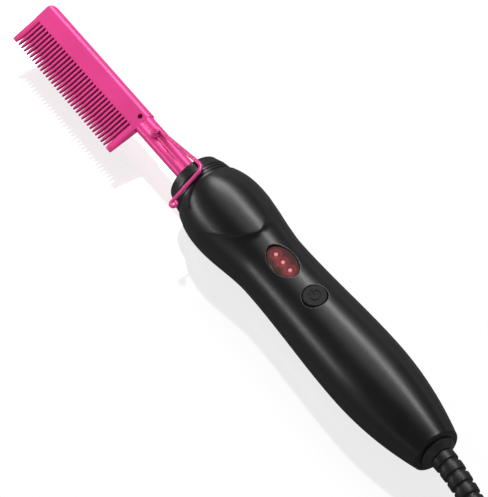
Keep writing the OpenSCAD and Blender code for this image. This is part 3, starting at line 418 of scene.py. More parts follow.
gland_paint = moulded("gland_nylon", (0.013, 0.013, 0.014), 0.36, 1100.0)
gland_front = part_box("swivel_gland")[0].x
retainer_at = 0.0047
gland_outline = [(gland_start, r) for gland_start, r in (
    (rear_end.x - relief_start.x, gland_end_radius - 0.0004),
    (rear_end.x - relief_start.x + 0.0003, gland_end_radius),
    (-gland_gap - gland_rim, gland_radius), (-gland_gap - 0.0001, gland_radius),
    (-gland_gap, gland_radius - 0.0002), (-gland_gap, journal_radius),
    (retainer_at, journal_radius), (retainer_at, 0.009), (retainer_at + 0.0015, 0.009),
    (retainer_at + 0.0015, 0.0036), (rear_end.x - gland_front, 0.0036))]
piece("swivel_collar", *loft(circles(gland_outline)), "cord_swivel", "gland_black", gland_paint,
      ["swivel_gland"])

# ---------------------------------------------------------------------------
# Handle: two hollow shells of satin black glass-filled nylon that meet at mid height. The
# upper one has the raised tongue, the window and the button's bore, the lower one four screws.
shell_length = 0.174
bulge_at, bulge_radius = 0.157, 0.020
waist_at, waist_radius = 0.124, 0.0168
belly_at, belly_radius = 0.053, 0.0195
tail_radius, tail_round = 0.0119, 0.0014
mouth_radius, shoulder_power = 0.0168, 2.4
tongue_at, tongue_radius, tongue_power, tongue_spread = 0.1345, 0.0187, 1.6, 66.0
tongue_cove, tongue_edge = 0.0030, 0.0001
shell_wall, end_wall, bush_bore = 0.0022, 0.0032, 0.00945
end_fade = 0.006               # the inner skin has left the end wall this far from the rear end
parting_chamfer = 0.00012
rim_round = 0.0004
mouth_round = 0.0003


def body_radius(s):
    if s < belly_at:
        return belly_radius - (belly_radius - tail_radius) * ((belly_at - s) / belly_at) ** 2
    if s < waist_at:
        return belly_radius + (waist_radius - belly_radius) * ease(
            (s - belly_at) / (waist_at - belly_at))
    if s < bulge_at:
        return waist_radius + (bulge_radius - waist_radius) * ease(
            (s - waist_at) / (bulge_at - waist_at))
    return bulge_radius - (bulge_radius - mouth_radius) * (
        (s - bulge_at) / (shell_length - bulge_at)) ** shoulder_power


def outer_radius(s):
    """Radius of the handle without its tongue, both end edges rounded."""
    if s < tail_round:
        left = tail_round - s
        return body_radius(tail_round) - tail_round + math.sqrt(tail_round ** 2 - left ** 2)
    over = max(s - (shell_length - mouth_round), 0)
    return body_radius(s) - mouth_round + math.sqrt(mouth_round ** 2 - over ** 2)


def raised_radius(s):
    back_from_top = max(bulge_at - s, 0) / (bulge_at - tongue_at)
    return bulge_radius - (bulge_radius - tongue_radius) * back_from_top ** tongue_power


def edge_station(y):
    return min(tongue_at + tongue_spread * y * y, bulge_at - 0.002)


def upper_radius(s, y):
    """Radius of the upper shell where the plan place is (s, y): the body, and the tongue on it."""
    edge = edge_station(y)
    if s >= bulge_at or s <= edge - tongue_cove:
        return outer_radius(s)
    step = raised_radius(max(s, edge)) - outer_radius(max(s, edge))
    if s < edge:
        return outer_radius(s) + step * (1 - (edge - s) / tongue_cove) ** 2
    worn = max(1 - (s - edge) / 0.0004, 0)
    return outer_radius(s) + step - min(step, 4 * tongue_edge) / 4 * worn ** 2


theta_step = math.radians(2.5)
thetas = [i * theta_step for i in range(-36, 37)]
thetas = [thetas[0], -math.pi / 2 + 0.008] + thetas[1:-1] + [math.pi / 2 - 0.008, thetas[-1]]
tail_stations = [tail_round * (1 - math.cos(math.radians(a))) for a in range(0, 90, 15)]
plain_stations = tail_stations + [tail_round + (0.0045 - tail_round) * i / 2 for i in range(3)]


def spread(start, stop, count):
    return [start + (stop - start) * (i + 1) / count for i in range(count)]


def shell_half(side, blocks, holes, radius_at, warped):
    """Points and faces of one shell. blocks are stations and counts; holes are dictionaries with
    a block's rows, the columns to leave out, a centre, an outline and the way to the inner skin."""
    points, faces = [], []
    stations = list(plain_stations)
    for stop, count in blocks:
        stations += spread(stations[-1], stop, count)
    table = []
    for j, theta in enumerate(thetas):
        column = list(stations)
        s = stations[-1]
        edge = tongue_at
        for _ in range(8):
            edge = edge_station(raised_radius(edge) * math.sin(theta))
        if warped:
            column += spread(s, edge - tongue_cove, 3)
            column += [edge - tongue_cove * (1 - i / 8) ** 1.5 for i in range(1, 9)]
            column += [edge + 0.0002, edge + 0.0004] + spread(edge + 0.0004, bulge_at, 12)
        else:
            column += spread(s, bulge_at, 25)
        column += spread(bulge_at, shell_length - mouth_round, 12)
        column += [shell_length - mouth_round * (1 - math.sin(math.radians(a)))
                   for a in (30, 60, 90)]
        table.append(column)
    rows = len(table[0])

    def skin_point(s, theta, inner):
        y = raised_radius(s) * math.sin(theta) if side > 0 else 0
        for _ in range(4):
            y = radius_at(s, y) * math.sin(theta)
        if inner:
            radius = outer_radius(min(max(s, tail_round), shell_length - mouth_round)) - shell_wall
            s = max(s, end_wall + s * (1 - end_wall / end_fade)) if s < end_fade else s
        else:
            radius = radius_at(s, y)
            if abs(theta) > math.pi / 2 - 1e-6:
                radius -= parting_chamfer
        return rear_end + Vector((-s, radius * math.sin(theta), side * radius * math.cos(theta)))

    index = {}

    def vertex(i, j, inner):
        if (i, j, inner) not in index:
            index[i, j, inner] = len(points)
            points.append(skin_point(table[j][i], thetas[j], inner))
        return index[i, j, inner]

    inside = set()
    for hole in holes:
        (i0, i1), (j0, j1) = hole["rows"], hole["columns"]
        inside |= {(i, j) for i in range(i0, i1) for j in range(j0, j1)}
    for inner in (False, True):
        for i in range(rows - 1):
            for j in range(len(thetas) - 1):
                if (i, j) not in inside:
                    faces.append((vertex(i, j, inner), vertex(i + 1, j, inner),
                                  vertex(i + 1, j + 1, inner), vertex(i, j + 1, inner)))
    last = len(thetas) - 1
    for j in (0, last):
        faces += [(vertex(i, j, False), vertex(i + 1, j, False), vertex(i + 1, j, True),
                   vertex(i, j, True)) for i in range(rows - 1)]
    faces += [(vertex(rows - 1, j, False), vertex(rows - 1, j + 1, False),
               vertex(rows - 1, j + 1, True), vertex(rows - 1, j, True)) for j in range(last)]
    bore = []
    for at in (0.0, end_wall):
        bore.append(len(points))
        points += [rear_end + Vector((-at, bush_bore * math.sin(t), side * bush_bore * math.cos(t)))
                   for t in thetas]
    for j in range(last):
        faces.append((vertex(0, j, False), vertex(0, j + 1, False), bore[0] + j + 1, bore[0] + j))
        faces.append((bore[0] + j, bore[0] + j + 1, bore[1] + j + 1, bore[1] + j))
        faces.append((bore[1] + j, bore[1] + j + 1, vertex(0, j + 1, True), vertex(0, j, True)))
    for j in (0, last):
        faces.append((vertex(0, j, False), bore[0] + j, bore[1] + j, vertex(0, j, True)))

    for hole in holes:
        (i0, i1), (j0, j1) = hole["rows"], hole["columns"]
        loop = [(i, j0) for i in range(i0, i1)] + [(i1, j) for j in range(j0, j1)]
        loop += [(i, j1) for i in range(i1, i0, -1)] + [(i0, j) for j in range(j1, j0, -1)]
        centre, outline = hole["centre"], hole["outline"]
        long, wide = hole["half"]
        def plan_of(inner):
            """The hole's loop on one skin, seen from above."""
            spots = [points[vertex(i, j, inner)] for i, j in loop]
            return [(rear_end.x - p.x, p.y - rear_end.y) for p in spots]

        angles = [math.atan2((y - centre[1]) / wide, (s - centre[0]) / long)
                  for s, y in plan_of(False)]

        def surface(s, y, inner):
            if inner:
                radius = outer_radius(s) - shell_wall
            else:
                radius = radius_at(s, y)
            return math.sqrt(radius ** 2 - y ** 2)

        def add(flat):
            first = len(points)
            points.extend(rear_end + Vector((-s, y, side * z)) for s, y, z in flat)
            return list(range(first, first + len(flat)))

        skins = {}
        for inner in (False, True):
            rim = rim_round if not inner else hole["inner_margin"]
            edge = [outline(a, rim) for a in angles]
            edge = [(centre[0] + s, centre[1] + y) for s, y in edge]
            begin = plan_of(inner)
            ring_list = [[vertex(i, j, inner) for i, j in loop]]
            for step in range(1, 7):
                f = 1 - (1 - step / 6) ** 1.4
                flat = []
                for (s0, y0), (s1, y1) in zip(begin, edge):
                    s, y = s0 + (s1 - s0) * f, y0 + (y1 - y0) * f
                    flat.append((s, y, surface(s, y, inner)))
                ring_list.append(add(flat))
            skins[inner] = ring_list
        rounded = []
        for a in (22.5, 45, 67.5, 90):
            grown = rim_round * (1 - math.sin(math.radians(a)))
            sunk = rim_round * (1 - math.cos(math.radians(a)))
            flat = []
            for angle in angles:
                ds, dy = outline(angle, rim_round)
                top = surface(centre[0] + ds, centre[1] + dy, False)
                ds, dy = outline(angle, grown)
                flat.append((centre[0] + ds, centre[1] + dy, top - sunk))
            rounded.append(add(flat))
        down = []
        for margin, z in hole["via"]:
            flat = [(centre[0] + outline(a, margin)[0], centre[1] + outline(a, margin)[1], z)
                    for a in angles]
            down.append(add(flat))
        chain = skins[False] + rounded + down + list(reversed(skins[True]))
        for a, b in zip(chain, chain[1:]):
            count = len(a)
            faces += [(a[k], a[(k + 1) % count], b[(k + 1) % count], b[k]) for k in range(count)]
    return points, faces


button_at, button_bore = 0.091, 0.00605
window_at, window_half_length, window_half_width = 0.1155, 0.0102, 0.00615
lens_low, lens_high = (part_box("window_lens")[i].z - rear_end.z for i in (0, 1))


def round_hole(radius):
    """Outline of a round hole: the place at an angle, with the hole grown by a margin."""
    return lambda a, margin: ((radius + margin) * math.cos(a), (radius + margin) * math.sin(a))


def window_hole(a, margin):
    side = math.copysign(abs(math.sin(a)) ** 1.12, math.sin(a))
    return (window_half_length + margin) * math.cos(a), (window_half_width + margin) * side


first_row = len(plain_stations) - 1
middle = len(thetas) // 2
half_columns = 13
upper_blocks = [(0.0815, 46), (0.1005, 12), (0.1030, 2), (0.1280, 16)]
button_rows = (first_row + 46, first_row + 58)
window_rows = (first_row + 60, first_row + 76)
window_floor = lens_low - 0.0010
upper_holes = [
    {"rows": button_rows, "columns": (middle - half_columns, middle + half_columns),
     "centre": (button_at, 0.0), "half": (1, 1), "outline": round_hole(button_bore),
     "inner_margin": 0.0, "via": []},
    {"rows": window_rows, "columns": (middle - half_columns, middle + half_columns),
     "centre": (window_at, 0.0), "half": (window_half_length, window_half_width),
     "outline": window_hole, "inner_margin": 0.0010, "via": [(0.0, window_floor),
                                                            (0.0010, window_floor)]}]
shell_paint = moulded("handle_nylon", (0.006, 0.006, 0.007), 0.32, 1400.0, 0.00003)
piece("handle_upper", *shell_half(1, upper_blocks, upper_holes, upper_radius, True), "root",
      "handle_black", shell_paint, ["upper_shell"])

screw_stations, screw_side = (0.037, 0.147), 0.010
screw_hole, screw_shaft, screw_boss = 0.0027, 0.0013, 0.0036
head_seat, boss_top = 0.009, 0.0075
lower_blocks = [(0.0295, 16), (0.0445, 10), (0.1395, 46), (0.1545, 10)]
lower_rows = [(first_row + 16, first_row + 26), (first_row + 72, first_row + 82)]
lower_holes = []
for station, rows in zip(screw_stations, lower_rows):
    for sign in (-1, 1):
        columns = sorted((middle + sign * 7, middle + sign * 19))
        lower_holes.append({
            "rows": rows, "columns": tuple(columns), "centre": (station, sign * screw_side),
            "half": (1, 1), "outline": round_hole(screw_hole),
            "inner_margin": screw_boss - screw_hole,
            "via": [(0.0, head_seat), (screw_shaft - screw_hole, head_seat),
                    (screw_shaft - screw_hole, boss_top), (screw_boss - screw_hole, boss_top)]})
piece("handle_lower", *shell_half(-1, lower_blocks, lower_holes, lambda s, y: outer_radius(s),
                                  False), "root", "handle_black", shell_paint, ["lower_shell"])

# ---------------------------------------------------------------------------
# Window: a flat lens of smoky red acrylic, pressed into the upper shell over three red lamps.
# The lamps' glow round each of them, with a faint ring and a faint glow all over, is painted into the
# lens as emission.
lens_margin = -0.0001
lens_bevel = 0.0002
lamp_pitch = 0.0054
glow_reach = 0.0062            # from a lamp's middle to where its glow has ended
window_x = rear_end.x - window_at
lens_rings = []
for margin, z in ((lens_margin, lens_low), (lens_margin, lens_high - lens_bevel),
                  (lens_margin - lens_bevel, lens_high), (-0.0022, lens_high),
                  (-0.0045, lens_high)):
    ring = []
    for k in range(96):
        ds, dy = window_hole(2 * math.pi * k / 96, margin)
        ring.append(rear_end + Vector((-window_at - ds, dy, z)))
    lens_rings.append(ring)
lens_paint, tree, shader = new_paint("smoky_lens")
link = tree.links.new
spot = add_node(tree, "ShaderNodeTexCoord")
split = add_node(tree, "ShaderNodeSeparateXYZ")
link(spot.outputs["Object"], split.inputs[0])


def sum_node(kind, *values):
    """One maths node of the lens paint; values are numbers or sockets."""
    node = tree.nodes.new("ShaderNodeMath")
    node.operation = kind
    for socket, value in zip(node.inputs, values):
        if isinstance(value, (int, float)):
            socket.default_value = value
        else:
            link(value, socket)
    return node.outputs[0]


along = sum_node("SUBTRACT", split.outputs["X"], window_x)
lamp_number = sum_node("ROUND", sum_node("DIVIDE", along, lamp_pitch))
lamp_number = sum_node("MINIMUM", sum_node("MAXIMUM", lamp_number, -1.0), 1.0)
off_x = sum_node("SUBTRACT", along, sum_node("MULTIPLY", lamp_number, lamp_pitch))
off_y = sum_node("SUBTRACT", split.outputs["Y"], rear_end.y)
off = sum_node("SQRT", sum_node("ADD", sum_node("MULTIPLY", off_x, off_x),
                                sum_node("MULTIPLY", off_y, off_y)))
# Painted glow: the lens itself emits, brightest over each lamp, with a faint ring round it.
glow_ramp = tree.nodes.new("ShaderNodeValToRGB")
glow_ramp.color_ramp.interpolation = "EASE"
glow_stops = [(0.0, (1.0, 0.55, 0.60, 1)), (0.10, (0.95, 0.30, 0.33, 1)),
              (0.20, (0.10, 0.006, 0.008, 1)), (0.36, (0.20, 0.014, 0.016, 1)),
              (0.62, (0.035, 0.005, 0.005, 1)), (1.0, (0.008, 0.003, 0.003, 1))]
glow_ramp.color_ramp.elements[0].color = glow_stops[0][1]
glow_ramp.color_ramp.elements[1].color = glow_stops[-1][1]
for share, colour in glow_stops[1:-1]:
    glow_ramp.color_ramp.elements.new(share).color = colour
link(sum_node("DIVIDE", off, glow_reach), glow_ramp.inputs["Fac"])
haze = add_node(tree, "ShaderNodeTexNoise", {"Scale": 500.0, "Detail": 3.0})
smoke = mix_colour(tree, (0.018, 0.005, 0.006), (0.035, 0.009, 0.010))
wire(tree, (spot, "Object", haze, "Vector"), (haze, "Fac", smoke, "Factor"),
     (smoke, "Result", shader, "Base Color"), (glow_ramp, "Color", shader, "Emission Color"))
shader.inputs["Emission Strength"].default_value = 0.9
shader.inputs["Specular IOR Level"].default_value = 0.35
shader.inputs["Roughness"].default_value = 0.12
shader.inputs["Alpha"].default_value = 0.85
piece("lens", *loft(lens_rings), "root", "lens_smoke", lens_paint, ["window_lens"])

# ---------------------------------------------------------------------------
# Power button: a satin black cap in the upper shell's bore, with a power mark sunk in its top.
# It stands on the plunger of the switch below and sinks 0.8 mm when pressed.
button_low, button_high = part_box("power_button")
button_radius, button_edge = 0.0057, 0.0005
flange_radius, stem_radius = 0.00685, 0.0022
mark_radius, mark_width, mark_depth, mark_gap = 0.0026, 0.0007, 0.0003, math.radians(60)
button_middle = Vector((rear_end.x - button_at, rear_end.y, 0))
cap_height, flange_high = 0.0044, 0.001
flange_top = button_high.z - cap_height


def sunk(x, y):
    """Share of the mark's depth at a place on the button's top, 0 outside the mark."""
    radius, a = math.hypot(x, y), math.atan2(y, -x)
    ring_off = abs(radius - mark_radius) - mark_width / 2
    if abs(a) < mark_gap / 2:
        ring_off = 1.0
    bar_off = abs(y) - mark_width / 2 if 0.0002 < -x < mark_radius + mark_width else 1.0
    return ease(0.5 - min(ring_off, bar_off) / 0.00008)


def button_ring(radius, z, marked=False):
    spots = [(radius * c, radius * d) for c, d in around(192)]
    return [button_middle + Vector((x, y, z - (mark_depth * sunk(x, y) if marked else 0)))
            for x, y in spots]


top = button_high.z
button_rings = [button_ring(radius, z) for radius, z in (
    (0.0, button_low.z), (stem_radius, button_low.z), (stem_radius, flange_top - flange_high),
    (flange_radius, flange_top - flange_high), (flange_radius, flange_top),
    (button_radius, flange_top), (button_radius, top - button_edge))]
for a in (20, 40, 60, 80, 90):
    reach = button_radius - button_edge * (1 - math.cos(math.radians(a)))
    button_rings.append(button_ring(reach, top - button_edge * (1 - math.sin(math.radians(a)))))
button_rings += [button_ring(r, top) for r in (0.0050, 0.0043, 0.0037)]
button_rings += [button_ring(0.0034 - 0.00007 * i, top, True) for i in range(48)]
button_rings.append(button_ring(0.0, top))
button_paint = moulded("button_nylon", (0.007, 0.007, 0.008), 0.50, 1500.0, 0.00002, level=0.2)
piece("button_cap", *loft(button_rings), "button", "button_black", button_paint,
      ["power_button"], 28)

# ---------------------------------------------------------------------------
# Nose collar: a black heat-resistant cap pressed into the mouth of the shells, with three fine
# grooves round it. The neck passes through its front.
nose_length, nose_radius, nose_front_radius = 0.012, 0.016, 0.0134
nose_break, nose_break_share, nose_round = 0.52, 0.4, 0.0015
groove_start, groove_pitch, groove_width, groove_depth = 0.0014, 0.0018, 0.0006, 0.00035
nose_bore, nose_wall, spigot_radius, spigot_length = 0.011, 0.003, 0.0145, 0.004
flange_thick = 0.0025
lobe_radius, lobe_up, lobe_down, valley = 0.003, 0.0012, 0.0026, 0.00235
front_roll = math.radians(13)


def neck_outline(margin, sides=96):
    """The neck's two-lobed section as (y, z) pairs at even angles about its middle."""
    found = []
    middle_y, reach = (lobe_up - lobe_down) / 2, (lobe_up + lobe_down) / 2
    for k in range(sides):
        a = 2 * math.pi * k / sides
        c, d = abs(math.cos(a)), abs(math.sin(a))
        lobe = reach * c + math.sqrt((lobe_radius + margin) ** 2 - (reach * d) ** 2)
        bridge = min(reach / max(c, 1e-6), (valley + margin) / max(d, 1e-6))
        r = max(lobe, bridge)
        found.append((middle_y + r * math.cos(a), r * math.sin(a)))
    return found


def section_ring(s, outline):
    return [rear_end + Vector((-s, y, z)) for y, z in outline]


def rolled(points, faces):
    """Turns a piece of the front about the handle's axis, as the comb is set in the handle."""
    turn = Matrix.Rotation(front_roll, 3, "X")
    return [rear_end + turn @ (p - rear_end) for p in points], faces


def nose_side(s):
    share = s / nose_length
    if share < nose_break:
        gone = nose_break_share * share / nose_break
        return nose_radius + (nose_front_radius - nose_radius) * gone
    wide = nose_radius + (nose_front_radius - nose_radius) * nose_break_share
    end = 1 - nose_round / nose_length
    return wide + (nose_front_radius - wide) * (share - nose_break) / (end - nose_break)


nose_outline = [(shell_length, spigot_radius), (shell_length, nose_radius - 0.0002),
                (shell_length + 0.0002, nose_side(0.0002))]
for i in range(3):
    start = groove_start + i * groove_pitch
    for at, depth in ((-0.0001, 0), (0.0, 0.0001), (0.0001, groove_depth),
                      (groove_width - 0.0001, groove_depth), (groove_width, 0.0001),
                      (groove_width + 0.0001, 0)):
        nose_outline.append((shell_length + start + at, nose_side(start + at) - depth))
for share in (0.52, 0.6, 0.7, 0.8):
    nose_outline.append((shell_length + share * nose_length, nose_side(share * nose_length)))
nose_front = shell_length + nose_length
for a in range(0, 91, 15):
    turned = math.radians(a)
    nose_outline.append((nose_front - nose_round * (1 - math.sin(turned)),
                         nose_front_radius - nose_round * (1 - math.cos(turned))))

nose_back = shell_length - spigot_length - flange_thick
nose_rings = circles(nose_outline)
nose_rings.append(section_ring(nose_front, neck_outline(0.0003)))
nose_rings.append(section_ring(nose_front - 0.0002, neck_outline(0.0001)))
nose_rings.append(section_ring(nose_front - nose_wall, neck_outline(0.0001)))
nose_rings += circles([(nose_front - nose_wall, nose_bore), (nose_back, nose_bore),
                       (nose_back, spigot_radius - 0.0001)])
nose_paint = moulded("nose_nylon", (0.007, 0.007, 0.008), 0.34, 1300.0, 0.00003)
piece("nose_cap", *rolled(*loft(nose_rings, True)), "root", "nose_black", nose_paint,
      ["nose_collar"], 30)

# ---------------------------------------------------------------------------
# Neck: one aluminium extrusion with two lobes, anodised pink. It is clamped inside the nose, and
# it carries the leads and the comb.
neck_length = 0.0369
comb_at = nose_front + neck_length
neck_back = shell_length - 0.009


def anodised(name, colour, roughness, streak=(40.0, 900.0, 900.0), metallic=0.85, cut=1.0):
    """Anodised aluminium: fine drawing lines along the piece and a slightly uneven dye. Faces whose
    normal runs along the piece, as the comb's slot walls do, keep only the share cut of their colour:
    painted shade."""
    paint, tree, shader = new_paint(name)
    shader.inputs["Metallic"].default_value = metallic
    spot = add_node(tree, "ShaderNodeTexCoord")
    squeeze = add_node(tree, "ShaderNodeMapping", {"Scale": streak})
    lines = add_node(tree, "ShaderNodeTexNoise", {"Scale": 1.0, "Detail": 1.0})
    cloud = add_node(tree, "ShaderNodeTexNoise", {"Scale": 45.0})
    tone = mix_colour(tree, [c * 0.88 for c in colour], [min(c * 1.10, 1.0) for c in colour])
    shine = map_range(tree, 0.0, 1.0, roughness - 0.06, roughness + 0.08)
    bump = add_node(tree, "ShaderNodeBump", {"Strength": 0.15, "Distance": 0.00001})
    facing = add_node(tree, "ShaderNodeSeparateXYZ")
    across = add_node(tree, "ShaderNodeMath", operation="ABSOLUTE")
    # Painted shade: faces whose normal runs along the piece, the slot walls, are darkened to the
    # share cut.
    slot_wall_shade = map_range(tree, 0.5, 0.8, 1.0, cut)
    shaded = add_node(tree, "ShaderNodeVectorMath", operation="SCALE")
    wire(tree, (spot, "Object", squeeze, "Vector"), (squeeze, "Vector", lines, "Vector"),
         (spot, "Object", cloud, "Vector"), (cloud, "Fac", tone, "Factor"),
         (spot, "Normal", facing, 0), (facing, "X", across, 0), (across, 0, slot_wall_shade, "Value"),
         (tone, "Result", shaded, 0), (slot_wall_shade, "Result", shaded, "Scale"),
         (shaded, 0, shader, "Base Color"), (lines, "Fac", shine, "Value"),
         (shine, "Result", shader, "Roughness"), (lines, "Fac", bump, "Height"),
         (bump, "Normal", shader, "Normal"))
    return paint


pink_paint = anodised("pink_aluminium", (0.80, 0.050, 0.27), 0.33, metallic=0.20)
neck_rings = [section_ring(s, neck_outline(0.0)) for s in
              [neck_back + (comb_at - neck_back) * i / 12 for i in range(13)]]
piece("neck", *rolled(*loft(neck_rings)), "root", "pink_metal", pink_paint, ["neck_tube"], 30)

# ---------------------------------------------------------------------------
# Comb: a die-cast aluminium head, anodised pink: a round spine over the heater, a plate that
# grows evenly from the slots to the spine, and a row of teeth that thin towards their tips.
comb_length = 0.0774
tip_at = comb_at + comb_length
spine_radius, spine_y = 0.0029, 0.0020
band_half, tip_half = 0.0019, 0.00065
slot_root, tooth_reach, reach_loss = 0.0057, 0.0212, 0.0014
slot_width, slot_pitch, slot_count = 0.0009, 0.00219, 33
tip_land = 0.0028
tooth_taper, tooth_tip_gap = 0.0025, 0.0017
tooth_overlap = 0.0006         # a tooth reaches this far into the plate
corner_radius = 0.0034
edge_bevel = 0.00022
set_screw_at, set_screw_radius, set_screw_edge = comb_at + 0.0033, 0.0012, 0.0001


def tooth_half(reach):
    """Half the comb's thickness at a distance below the spine's side."""
    share = min(max((reach - slot_root) / (tooth_reach - slot_root), 0), 1)
    return band_half + (tip_half - band_half) * share


def comb_half(y):
    """Half the comb's thickness at a height: it grows evenly from the slots to the spine."""
    share = min(max((y + slot_root) / (spine_y + slot_root), 0), 1)
    return band_half + (spine_radius - band_half) * share


section = [(-slot_root, band_half - edge_bevel), (-slot_root + edge_bevel, band_half)]
section += [(y / 10000, comb_half(y / 10000)) for y in (-46, -37)]
section += [(y / 10000, comb_half(y / 10000)) for y in range(-28, 20, 3)]
for i in range(17):
    a = math.pi / 2 * (1 - i / 16)
    section.append((spine_y + spine_radius * math.cos(a), spine_radius * math.sin(a)))
section += [(y, -z) for y, z in reversed(section[:-1])]
comb_rings = []
comb_stations = [comb_at, comb_at + edge_bevel] + [comb_at + 0.002 + i * 0.006 for i in range(12)]
comb_stations += [tip_at - corner_radius * (1 - math.sin(math.radians(a)))
                  for a in range(0, 91, 10)]
back_squeeze = 1 - edge_bevel / 0.003       # the back edge of the comb is a little thinner
for s in comb_stations:
    into = max(s - (tip_at - corner_radius), 0)
    top_y = spine_y + spine_radius - corner_radius
    top_y += math.sqrt(max(corner_radius ** 2 - into ** 2, 0))
    squeeze = back_squeeze if s == comb_at else 1
    comb_rings.append([rear_end + Vector((-s, min(y, top_y), z * squeeze)) for y, z in section])
comb = piece("comb_head_body", *rolled(*loft(comb_rings)), "root", "pink_metal", pink_paint,
             ["comb_head"], 32)


def upright_rings(centre, outline, sides=48):
    """Rings about an upright axis, from pairs of height and radius."""
    return [[centre + Vector((r * c, r * d, z)) for c, d in around(sides)] for z, r in outline]


def drilled(thing, points, faces, sharp):
    """Takes a closed shape away from a piece and leaves it a plain mesh."""
    drill = bpy.data.objects.new("drill", closed_mesh("drill", points, faces))
    scene.collection.objects.link(drill)
    cut = thing.modifiers.new("cut", "BOOLEAN")
    cut.operation = "DIFFERENCE"
    cut.object = drill
    cut.solver = "EXACT"
    ready = thing.evaluated_get(bpy.context.evaluated_depsgraph_get())
    thing.data = bpy.data.meshes.new_from_object(ready)
    thing.modifiers.clear()
    thing.data.set_sharp_from_angle(angle=math.radians(sharp))
    bpy.data.objects.remove(drill)


hole_top = comb_half(0.0)
hole_outline = [(-0.0002, set_screw_radius), (hole_top - set_screw_edge, set_screw_radius),
                (hole_top + 0.001, set_screw_radius + 0.001 + set_screw_edge)]
hole_middle = rear_end + Vector((-set_screw_at, 0, 0))
drilled(comb, *rolled(*loft(upright_rings(hole_middle, hole_outline))), 32)


def tooth_points(width_from, width_to, tip_from, tip_to, full):
    """A tooth of the given edges along the comb, thinning to its tip, with bevelled edges."""
    rings = []
    tip_start = full - tooth_taper
    for reach, at_tip, inset in ((slot_root - tooth_overlap, 0, 0), (slot_root + 0.004, 0, 0),
                                 (slot_root + 0.009, 0, 0), (tip_start, 0, 0),
                                 (full - 0.0003, 0.9, 0), (full - 0.0001, 0.98, 0.0001),
                                 (full, 1, 0.00022)):
        a = width_from + (tip_from - width_from) * at_tip + inset
        b = width_to + (tip_to - width_to) * at_tip - inset
        half = tooth_half(reach) - inset
        cut = min(edge_bevel, (b - a) * 0.3, half * 0.5)
        outline = [(a + cut, half), (b - cut, half), (b, half - cut), (b, -half + cut),
                   (b - cut, -half), (a + cut, -half), (a, -half + cut), (a, half - cut)]
        rings.append([Vector((x, -reach, z)) for x, z in outline])
    return loft(rings)


def repeated(name, source, count, start, step, turn, first_scale, scale_step, paint):
    """Copies of a mesh along a line, made by geometry nodes and turned into one plain mesh. Each
    is turned about the line and is longer across it than the one before."""
    tree = bpy.data.node_groups.new(name + "_nodes", "GeometryNodeTree")
    kinds = {"Geometry": "Geometry", "Count": "Int", "Start": "Vector", "Step": "Vector",
             "Turn": "Float", "First Scale": "Float", "Scale Step": "Float", "Paint": "Material"}
    for word, kind in kinds.items():
        tree.interface.new_socket(word, in_out="INPUT", socket_type="NodeSocket" + kind)
    tree.interface.new_socket("Geometry", in_out="OUTPUT", socket_type="NodeSocketGeometry")
    given, end = add_node(tree, "NodeGroupInput"), add_node(tree, "NodeGroupOutput")
    row = add_node(tree, "GeometryNodeMeshLine")
    number = add_node(tree, "GeometryNodeInputIndex")
    grown = add_node(tree, "ShaderNodeMath", operation="MULTIPLY_ADD")
    stretch = add_node(tree, "ShaderNodeCombineXYZ", {"X": 1.0, "Z": 1.0})
    about = add_node(tree, "ShaderNodeCombineXYZ")
    copies = add_node(tree, "GeometryNodeInstanceOnPoints")
    real = add_node(tree, "GeometryNodeRealizeInstances")
    dressed = add_node(tree, "GeometryNodeSetMaterial")
    wire(tree, (given, "Count", row, "Count"), (given, "Start", row, "Start Location"),
         (given, "Step", row, "Offset"), (number, "Index", grown, 0),
         (given, "Scale Step", grown, 1), (given, "First Scale", grown, 2),
         (grown, 0, stretch, "Y"), (given, "Turn", about, "X"), (row, "Mesh", copies, "Points"),
         (given, "Geometry", copies, "Instance"), (about, 0, copies, "Rotation"),
         (stretch, 0, copies, "Scale"), (copies, "Instances", real, "Geometry"),
         (real, "Geometry", dressed, "Geometry"), (given, "Paint", dressed, "Material"),
         (dressed, "Geometry", end, "Geometry"))
    modifier = source.modifiers.new(name, "NODES")
    modifier.node_group = tree
    values = {"Count": count, "Start": start, "Step": step, "Turn": turn,
              "First Scale": first_scale, "Scale Step": scale_step, "Paint": paint}
    for item in tree.interface.items_tree:
        if item.in_out == "INPUT" and item.name in values:
            modifier[item.identifier] = values[item.name]
    ready = source.evaluated_get(bpy.context.evaluated_depsgraph_get())
    plain = bpy.data.meshes.new_from_object(ready)
    source.modifiers.clear()
    source.data = plain


def reach_at(x):
    """Reach of the teeth at a distance from the comb's tip."""
    return tooth_reach - reach_loss * (1 - x / comb_length)


slot_edges = [(tip_land + i * slot_pitch, tip_land + i * slot_pitch + slot_width)
              for i in range(slot_count)]
spare = (tooth_tip_gap - slot_width) / 2
tooth_width = slot_pitch - slot_width
# cut=0.40 paints shade on the walls of the narrow slots between the teeth.
teeth_paint = anodised("pink_teeth", (0.80, 0.050, 0.27), 0.40, metallic=0.20, cut=0.40)
tooth_root = slot_root - tooth_overlap
points, faces = tooth_points(0.0, tooth_width, spare, tooth_width - spare, tooth_reach)
teeth = piece("comb_teeth", [p + Vector((0, tooth_root, 0)) for p in points], faces, "root",
              "pink_metal", teeth_paint, ["comb_head"], 50)
root_line = rolled([rear_end + Vector((-tip_at + slot_edges[0][1], -tooth_root, 0))], [])[0][0]
full_height = tooth_reach - tooth_root
first_scale = (reach_at(slot_edges[0][1]) - tooth_root) / full_height
scale_step = reach_loss * slot_pitch / comb_length / full_height
repeated("comb_teeth", teeth, slot_count - 1, root_line, (slot_pitch, 0, 0), front_roll,
         first_scale, scale_step, teeth_paint)
end_teeth = [tooth_points(0.0, slot_edges[0][0], 0.0, slot_edges[0][0] - spare, reach_at(0.001)),
             tooth_points(slot_edges[-1][1], comb_length, slot_edges[-1][1] + spare, comb_length,
                          reach_at(comb_length - 0.003))]
for word, (points, faces) in zip(("tip", "neck"), end_teeth):
    placed = [rear_end + Vector((-tip_at, 0, 0)) + p for p in points]
    piece("comb_end_tooth_" + word, *rolled(placed, faces), "root", "pink_metal", pink_paint,
          ["comb_head"], 50)

